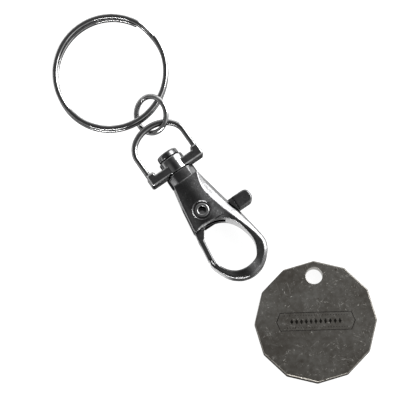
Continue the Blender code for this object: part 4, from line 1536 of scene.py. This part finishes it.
@dataclass
class Trigger(SubAssembly):
    """The gate and the thumb lever in one piece, about the pivot."""

    clasp: Clasp
    side_gap: float = 0.00015
    hub: float = 0.0037
    running_gap: float = 0.00008
    tip: float = 0.0088
    tip_round: float = 0.0011
    pad_start: float = 0.00535
    pad_deep: float = 0.0034
    pad_bevel: float = 0.00025
    gate_deep: float = 0.0030
    gate_bevel: float = 0.0002
    lap_gap: float = 0.00014
    heel_share: float = 0.560
    heel_edge: Profile = ((0.452, 0.330), (0.438, -0.120), (0.462, -0.360))
    gate_root: Profile = ((0.548, -0.590), (0.528, -0.755), (0.443, -0.690))
    gate_inner: Profile = ((0.540, -0.590), (0.700, -0.680), (0.748, -0.690))
    gate_outer: Profile = ((0.688, -0.870), (0.524, -0.758))
    edge_ease: float = 0.00006

    def cast(self, name: str, corners: Sequence[Triple], deep: float, bevel: float) -> Object:
        """Build a plate from its (x, y, radius) corners on the clasp, about the pivot."""
        shape = even_plate(rounded_outline(corners), deep, bevel)
        return self.solid(name, moved(shape, -self.clasp.pivot()))

    def plate(self) -> Object:
        """Build the plate that runs in the channel.

        Returns:
            The plate.
        """
        clasp, hub, pivot = self.clasp, self.hub / 2, self.clasp.pivot()
        start, end = clasp.lever_span()
        small, large = self.pad_bevel, hub - self.pad_bevel
        corners = [(*clasp.point(self.heel_edge[2]), small)]
        corners += [(*clasp.point(share), large) for share in reversed(self.heel_edge[:2])]
        corners += [(end, clasp.half_width * self.heel_share, small)]
        corners += [(end, self.pad_start + self.pad_bevel, 0), (start, self.pad_start + self.pad_bevel, 0)]
        corners += [(start, pivot.y + hub, small)]
        corners += [(pivot.x - hub, pivot.y + hub, large), (pivot.x - hub, pivot.y - hub, large)]
        corners += [(*clasp.point(share), 0) for share in reversed(self.gate_root)]
        return self.cast("trigger_casting", corners, clasp.channel_deep - 2 * self.side_gap, 0)

    def gate(self) -> Object:
        """Build the gate with its lapped tongue.

        Returns:
            The gate.
        """
        clasp = self.clasp
        tongue_end = clasp.reach(clasp.nose[3][0]) - self.lap_gap
        lap = clasp.half_width * clasp.nose[2][1] + self.lap_gap
        tip = clasp.reach(clasp.nose[0][0]) - self.lap_gap
        corners = [(*clasp.point(share), 0) for share in self.gate_inner[:2]]
        corners += [(tongue_end, clasp.point(self.gate_inner[2])[1], self.gate_bevel), (tongue_end, lap, 0)]
        corners += [(tip, lap, 0), (tip, clasp.point(self.gate_outer[0])[1], self.gate_bevel)]
        corners += [(*clasp.point(self.gate_outer[1]), 0)]
        return self.cast("gate_bar", corners, self.gate_deep, self.gate_bevel)

    def pad(self) -> Object:
        """Build the thumb pad.

        Returns:
            The pad.
        """
        start, end = self.clasp.lever_span()
        corners = [(start, self.pad_start, 0), (end, self.pad_start, 0)]
        corners += [(end, self.tip, self.tip_round), (start, self.tip, self.tip_round)]
        return self.cast("thumb_pad", corners, self.pad_deep, self.pad_bevel)

    def build(self) -> None:
        """Build the trigger and dress it."""
        trigger = self.plate()
        combine(trigger, self.gate(), Join.ADD)
        combine(trigger, self.pad(), Join.ADD)
        radius, end = self.clasp.pivot_shank / 2 + self.running_gap, self.clasp.channel_deep
        combine(trigger, self.solid("trigger_bore", revolve(rod(radius, -end, end))), Join.CUT)
        ease_edges(trigger, self.edge_ease)
        self.dress(trigger, "chrome", "trigger", "trigger")


@dataclass
class TriggerSpring(SubAssembly):
    """The coil between the channel's end and the lever."""

    clasp: Clasp
    across: float = 0.0015
    wire: float = 0.00028
    turns: int = 4
    offset: float = 0.00278
    seat_gap: float = 0.00008
    pressed_share: float = 0.165
    steps: int = 160

    def build(self, bender: WireBender) -> None:
        """Wind the coil and dress it.

        Args:
            bender: The tree that bends wire.
        """
        start = self.clasp.channel_start() + self.seat_gap + self.wire / 2
        end = self.clasp.lever_span()[0] - self.seat_gap - self.wire / 2
        along = Matrix(((0, 0, 1), (1, 0, 0), (0, 1, 0))).to_4x4()
        seat = Matrix.Translation((start, self.offset, 0)) @ along
        coil = bender.make(
            "trigger_coil", self.place @ seat, self.finish, Steps=self.steps,
            Last_Turn=math.tau * self.turns, Rise=end - start,
            **bender.round_sizes((self.across - self.wire) / 2, self.wire),
        )
        self.dress(coil, "spring_steel", "clasp", "trigger_spring")
        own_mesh(coil)


# The token


@dataclass
class Token(SubAssembly):
    """The twelve-sided token with its hole."""

    corners: int = 12
    across: float = 0.02343
    thickness: float = 0.0028
    bevel: float = 0.00018
    bevel_ease: float = 0.2
    hole: float = 0.00325
    hole_offset: float = 0.00883
    hole_bevel: float = 0.00006
    hole_ease: float = 0.00004
    corner_round: float = 0.0007
    sharp_from: float = 24

    def blank(self) -> Object:
        """Build the bevelled prism.

        Returns:
            The prism.
        """
        radius = self.across / 2
        turns = [math.tau * i / self.corners for i in range(self.corners)]
        corners = [(radius * math.cos(a), radius * math.sin(a), self.corner_round) for a in turns]
        shape = even_plate(rounded_outline(corners, 4), self.thickness, self.bevel, self.bevel_ease, 3)
        return self.solid("token_blank", shape)

    def drill(self) -> Object:
        """Build the tool that drills and eases the hole.

        Returns:
            The tool.
        """
        hole, half, ease = self.hole / 2, self.thickness / 2, self.hole_bevel
        wide, end = hole + ease + TOOL_OVERRUN, half + TOOL_OVERRUN
        profile = eased_path([
            (0, -end, 0), (wide, -end, 0), (hole, ease - half, self.hole_ease),
            (hole, half - ease, self.hole_ease), (wide, end, 0), (0, end, 0),
        ])
        return self.solid("token_drill", moved(revolve(profile), (0, self.hole_offset, 0)))

    def build(self) -> None:
        """Build the token and dress it."""
        token = self.blank()
        combine(token, self.drill(), Join.CUT)
        shade(token, self.sharp_from)
        self.dress(token, "token_metal", "coin", "coin")


class StudRow(PieceTree):
    """The tree that sets a row of small prisms with even spacing."""

    def __init__(self) -> None:
        """Build the tree."""
        sizes = ("Spacing", "Wide", "Long", "Tall", "Middle Height")
        super().__init__("row of studs", ("Count", "Sides"), sizes)
        bench, start = self.bench, self.start
        reach = bench.math("MULTIPLY", bench.math("SUBTRACT", start["Count"], 1.0), start["Spacing"])
        first = bench.xyz(bench.math("MULTIPLY", reach, -0.5), 0.0, start["Middle Height"])
        step = bench.xyz(start["Spacing"], 0.0, 0.0)
        sockets = {"Count": start["Count"], "Start Location": first, "Offset": step}
        line = bench.add("GeometryNodeMeshLine", sockets)
        sockets = {"Vertices": start["Sides"], "Radius": 0.5, "Depth": 1.0}
        stud = bench.add("GeometryNodeMeshCylinder", sockets)
        size = bench.xyz(start["Wide"], start["Long"], start["Tall"])
        sockets = {0: line.outputs[0], "Instance": stud.outputs[0], "Scale": size}
        self.close(bench.add("GeometryNodeInstanceOnPoints", sockets).outputs[0])


@dataclass(frozen=True)
class StudSizes:
    """The sizes of one row of studs."""

    count: int
    sides: int
    spacing: float
    wide: float
    long: float


@dataclass
class EtchedBand(SubAssembly):
    """A long six-sided border round a row of lozenges, with a row of dots above and below."""

    token: Token
    half_long: float = 0.0075
    half_shoulder: float = 0.0068
    half_tall: float = 0.00172
    line_wide: float = 0.00016
    proud: float = 0.000006
    sunk: float = 0.00002
    lozenges: StudSizes = StudSizes(count=11, sides=4, spacing=0.00092, wide=0.00062, long=0.00112)
    dots: StudSizes = StudSizes(count=24, sides=12, spacing=0.00052, wide=0.00017, long=0.00017)
    dot_offset: float = 0.00118

    def border(self, face: Matrix) -> Object:
        """Build the thin border line as a closed strip.

        Args:
            face: The place on the token's face.

        Returns:
            The line.
        """
        shoulder, tall, half = self.half_shoulder, self.half_tall, self.line_wide / 2
        corners = [(self.half_long, 0), (shoulder, tall), (-shoulder, tall)]
        outline = corners + [(-x, -y) for x, y in corners]
        normals = outward_normals(outline)
        shape = bmesh.new()
        rows = []
        edges = ((half, -self.sunk), (half, self.proud), (-half, self.proud), (-half, -self.sunk))
        for side, height in edges:
            places = [Vector(point) + normal * side for point, normal in zip(outline, normals)]
            rows.append([shape.verts.new((place.x, place.y, height)) for place in places])
        count = len(outline)
        for row, after in zip(rows, rows[1:] + rows[:1]):
            for i in range(count):
                k = (i + 1) % count
                shape.faces.new((row[i], row[k], after[k], after[i]))
        return solid("etched_border", shape, face)

    def build(self) -> None:
        """Build the band's parts on the token's face and dress them."""
        face = self.place @ Matrix.Translation((0, 0, self.token.thickness / 2))
        self.dress(self.border(face), "token_metal", "coin")
        studs = StudRow()
        rows = (
            ("etched_lozenges", 0.0, self.lozenges), ("etched_dots_high", self.dot_offset, self.dots),
            ("etched_dots_low", -self.dot_offset, self.dots),
        )
        for name, offset, sizes in rows:
            row = studs.make(
                name, face @ Matrix.Translation((0, offset, 0)), self.finish,
                Count=sizes.count, Sides=sizes.sides, Spacing=sizes.spacing, Wide=sizes.wide,
                Long=sizes.long, Tall=self.proud + self.sunk, Middle_Height=(self.proud - self.sunk) / 2,
            )
            self.dress(row, "token_metal", "coin")


# The stage


def stand(name: str, data: Any, away: Vector, location: Vector) -> Object:
    """Stand a lamp or a camera, facing back from where away points.

    Args:
        name: The object's name.
        data: Its lamp or camera.
        away: The direction from the object that it looks at.
        location: Where it stands.

    Returns:
        The object.
    """
    obj = bpy.data.objects.new(name, data)
    bpy.context.scene.collection.objects.link(obj)
    obj.location = location
    obj.rotation_euler = away.to_track_quat("Z", "Y").to_euler()
    return obj


@dataclass(frozen=True)
class Lamp:
    """A soft area lamp that faces the object; its bearing and height are in degrees, its power in watts."""

    name: str
    azimuth: float
    elevation: float
    size: tuple[float, float]
    power: float
    distance: float = 0.6

    def hang(self) -> None:
        """Hang the lamp."""
        data = bpy.data.lights.new(self.name, "AREA")
        data.shape = "RECTANGLE"
        data.size, data.size_y = self.size
        data.energy = self.power
        turn, rise = math.radians(self.azimuth), math.radians(self.elevation)
        away = Vector((math.cos(turn) * math.cos(rise), math.sin(turn) * math.cos(rise), math.sin(rise)))
        stand(self.name, data, away, away * self.distance)


@dataclass
class Studio:
    """The floor, the light round it and the camera."""

    elevation: float = 79.0
    lens: float = 250.0
    sensor: float = 36.0
    frame_wide: float = 0.07737
    target: Triple = (-0.002573, -0.000414, 0.0)
    sight: float = 20.0
    floor_half: float = 3.0
    floor_drop: float = 0.00001
    floor_colour: Triple = (0.50, 0.50, 0.50)
    floor_glow: float = 0.92
    sky: Profile = ((0.0, 0.9), (0.4, 0.8), (0.75, 0.6), (0.88, 0.55), (0.955, 0.36), (0.985, 0.26))
    bright_side: float = 36.0
    bright_range: tuple[float, float] = (-0.25, 0.75)
    dark_side_share: float = 0.16
    low_band: float = 0.35
    low_range: tuple[float, float] = (0.06, 0.34)
    lamps: Sequence[Lamp] = (
        Lamp("north_east_softbox", azimuth=36, elevation=30, size=(0.5, 0.4), power=3.4),
        Lamp("south_strip", azimuth=-98, elevation=12, size=(0.55, 0.08), power=1.9),
    )

    def floor(self) -> None:
        """Lay the pale floor, which the camera and the metal see as white."""
        half = self.floor_half
        shape = bmesh.new()
        shape.faces.new([shape.verts.new((*corner, 0)) for corner in strip_outline(-half, half, half)])
        floor = solid("studio_floor", shape, Matrix.Translation((0, 0, -self.floor_drop)))
        material = bpy.data.materials.new("pale_floor")
        material.use_nodes = True
        nodes, bench = material.node_tree.nodes, NodeBench(material.node_tree)
        shader = nodes["Principled BSDF"]
        sockets = {"Base Color": (*self.floor_colour, 1), "Roughness": 1.0, "Specular IOR Level": 0.0}
        bench.fill(shader, sockets)
        paths = bench.add("ShaderNodeLightPath").outputs
        seen = bench.math("MAXIMUM", paths["Is Camera Ray"], paths["Is Glossy Ray"])
        seen = bench.math("MAXIMUM", seen, paths["Is Transmission Ray"])
        glow = bench.add("ShaderNodeEmission", {"Strength": self.floor_glow})
        none = bench.add("ShaderNodeEmission", {"Strength": 0.0})
        shown = bench.add("ShaderNodeMixShader", {0: seen, 1: none.outputs[0], 2: glow.outputs[0]})
        both = bench.add("ShaderNodeAddShader", {0: shader.outputs[0], 1: shown.outputs[0]})
        bench.fill(nodes["Material Output"], {"Surface": both.outputs[0]})
        floor.data.materials.append(material)

    def world(self) -> None:
        """Light the room brightly at the horizon and dimly overhead."""
        world = bpy.data.worlds.new("studio")
        bpy.context.scene.world = world
        world.use_nodes = True
        bench = NodeBench(world.node_tree)
        direction = bench.add("ShaderNodeTexCoord").outputs["Generated"]
        height = bench.height(direction)
        ramp = bench.add("ShaderNodeValToRGB", {0: height})
        elements = ramp.color_ramp.elements
        for _ in self.sky[2:]:
            elements.new(0.5)
        for element, (position, tone) in zip(elements, self.sky):
            element.position = position
            element.color = (tone, tone, tone, 1)
        turn = math.radians(self.bright_side)
        towards = bench.vector("DOT_PRODUCT", direction, (math.cos(turn), math.sin(turn), 0))
        side = bench.spread(towards, *self.bright_range, self.dark_side_share, 1.0)
        side = bench.math("MAXIMUM", side, bench.spread(height, *self.low_range, self.low_band, 0.0))
        bench.fill(world.node_tree.nodes["Background"], {"Color": ramp.outputs[0], "Strength": side})

    def camera(self) -> None:
        """Stand the camera at the photograph's angle."""
        data = bpy.data.cameras.new("camera")
        data.lens = self.lens
        data.sensor_width = self.sensor
        data.clip_end = self.sight
        rise = math.radians(self.elevation)
        away = Vector((0, -math.cos(rise), math.sin(rise)))
        location = Vector(self.target) + away * self.lens * self.frame_wide / self.sensor
        bpy.context.scene.camera = stand("camera", data, away, location)

    def build(self) -> None:
        """Set up the whole stage."""
        self.floor()
        self.world()
        for lamp in self.lamps:
            lamp.hang()
        self.camera()
        bpy.context.scene.view_settings.view_transform = "Standard"


def main() -> None:
    """Build and dress every piece in order, then set up the stage."""
    logging.basicConfig(level=logging.INFO, format="%(name)s: %(message)s")
    effects, finishes, layout, bender = Effects(), Finishes(), Layout.from_frame(), WireBender()
    casting, wire = finishes.casting.material(effects), finishes.wire.material(effects)
    SplitRing(layout.split, wire).build(bender)
    JumpRing(layout.jump, wire).build(bender)
    SwivelBail(layout.clasp, finishes.bail.material(effects)).build()
    SwivelRivet(layout.clasp, casting).build()
    clasp = Clasp(layout.clasp, casting)
    clasp.build()
    PivotRivet(layout.clasp, finishes.rivet.material(effects), clasp).build()
    Trigger(layout.trigger, casting, clasp).build()
    TriggerSpring(layout.clasp, finishes.spring.material(effects), clasp).build(bender)
    token = Token(layout.coin, finishes.token.material(effects))
    token.build()
    EtchedBand(layout.coin, finishes.etch.material(effects), token).build()
    Studio().build()


if __name__ == "__main__":
    main()
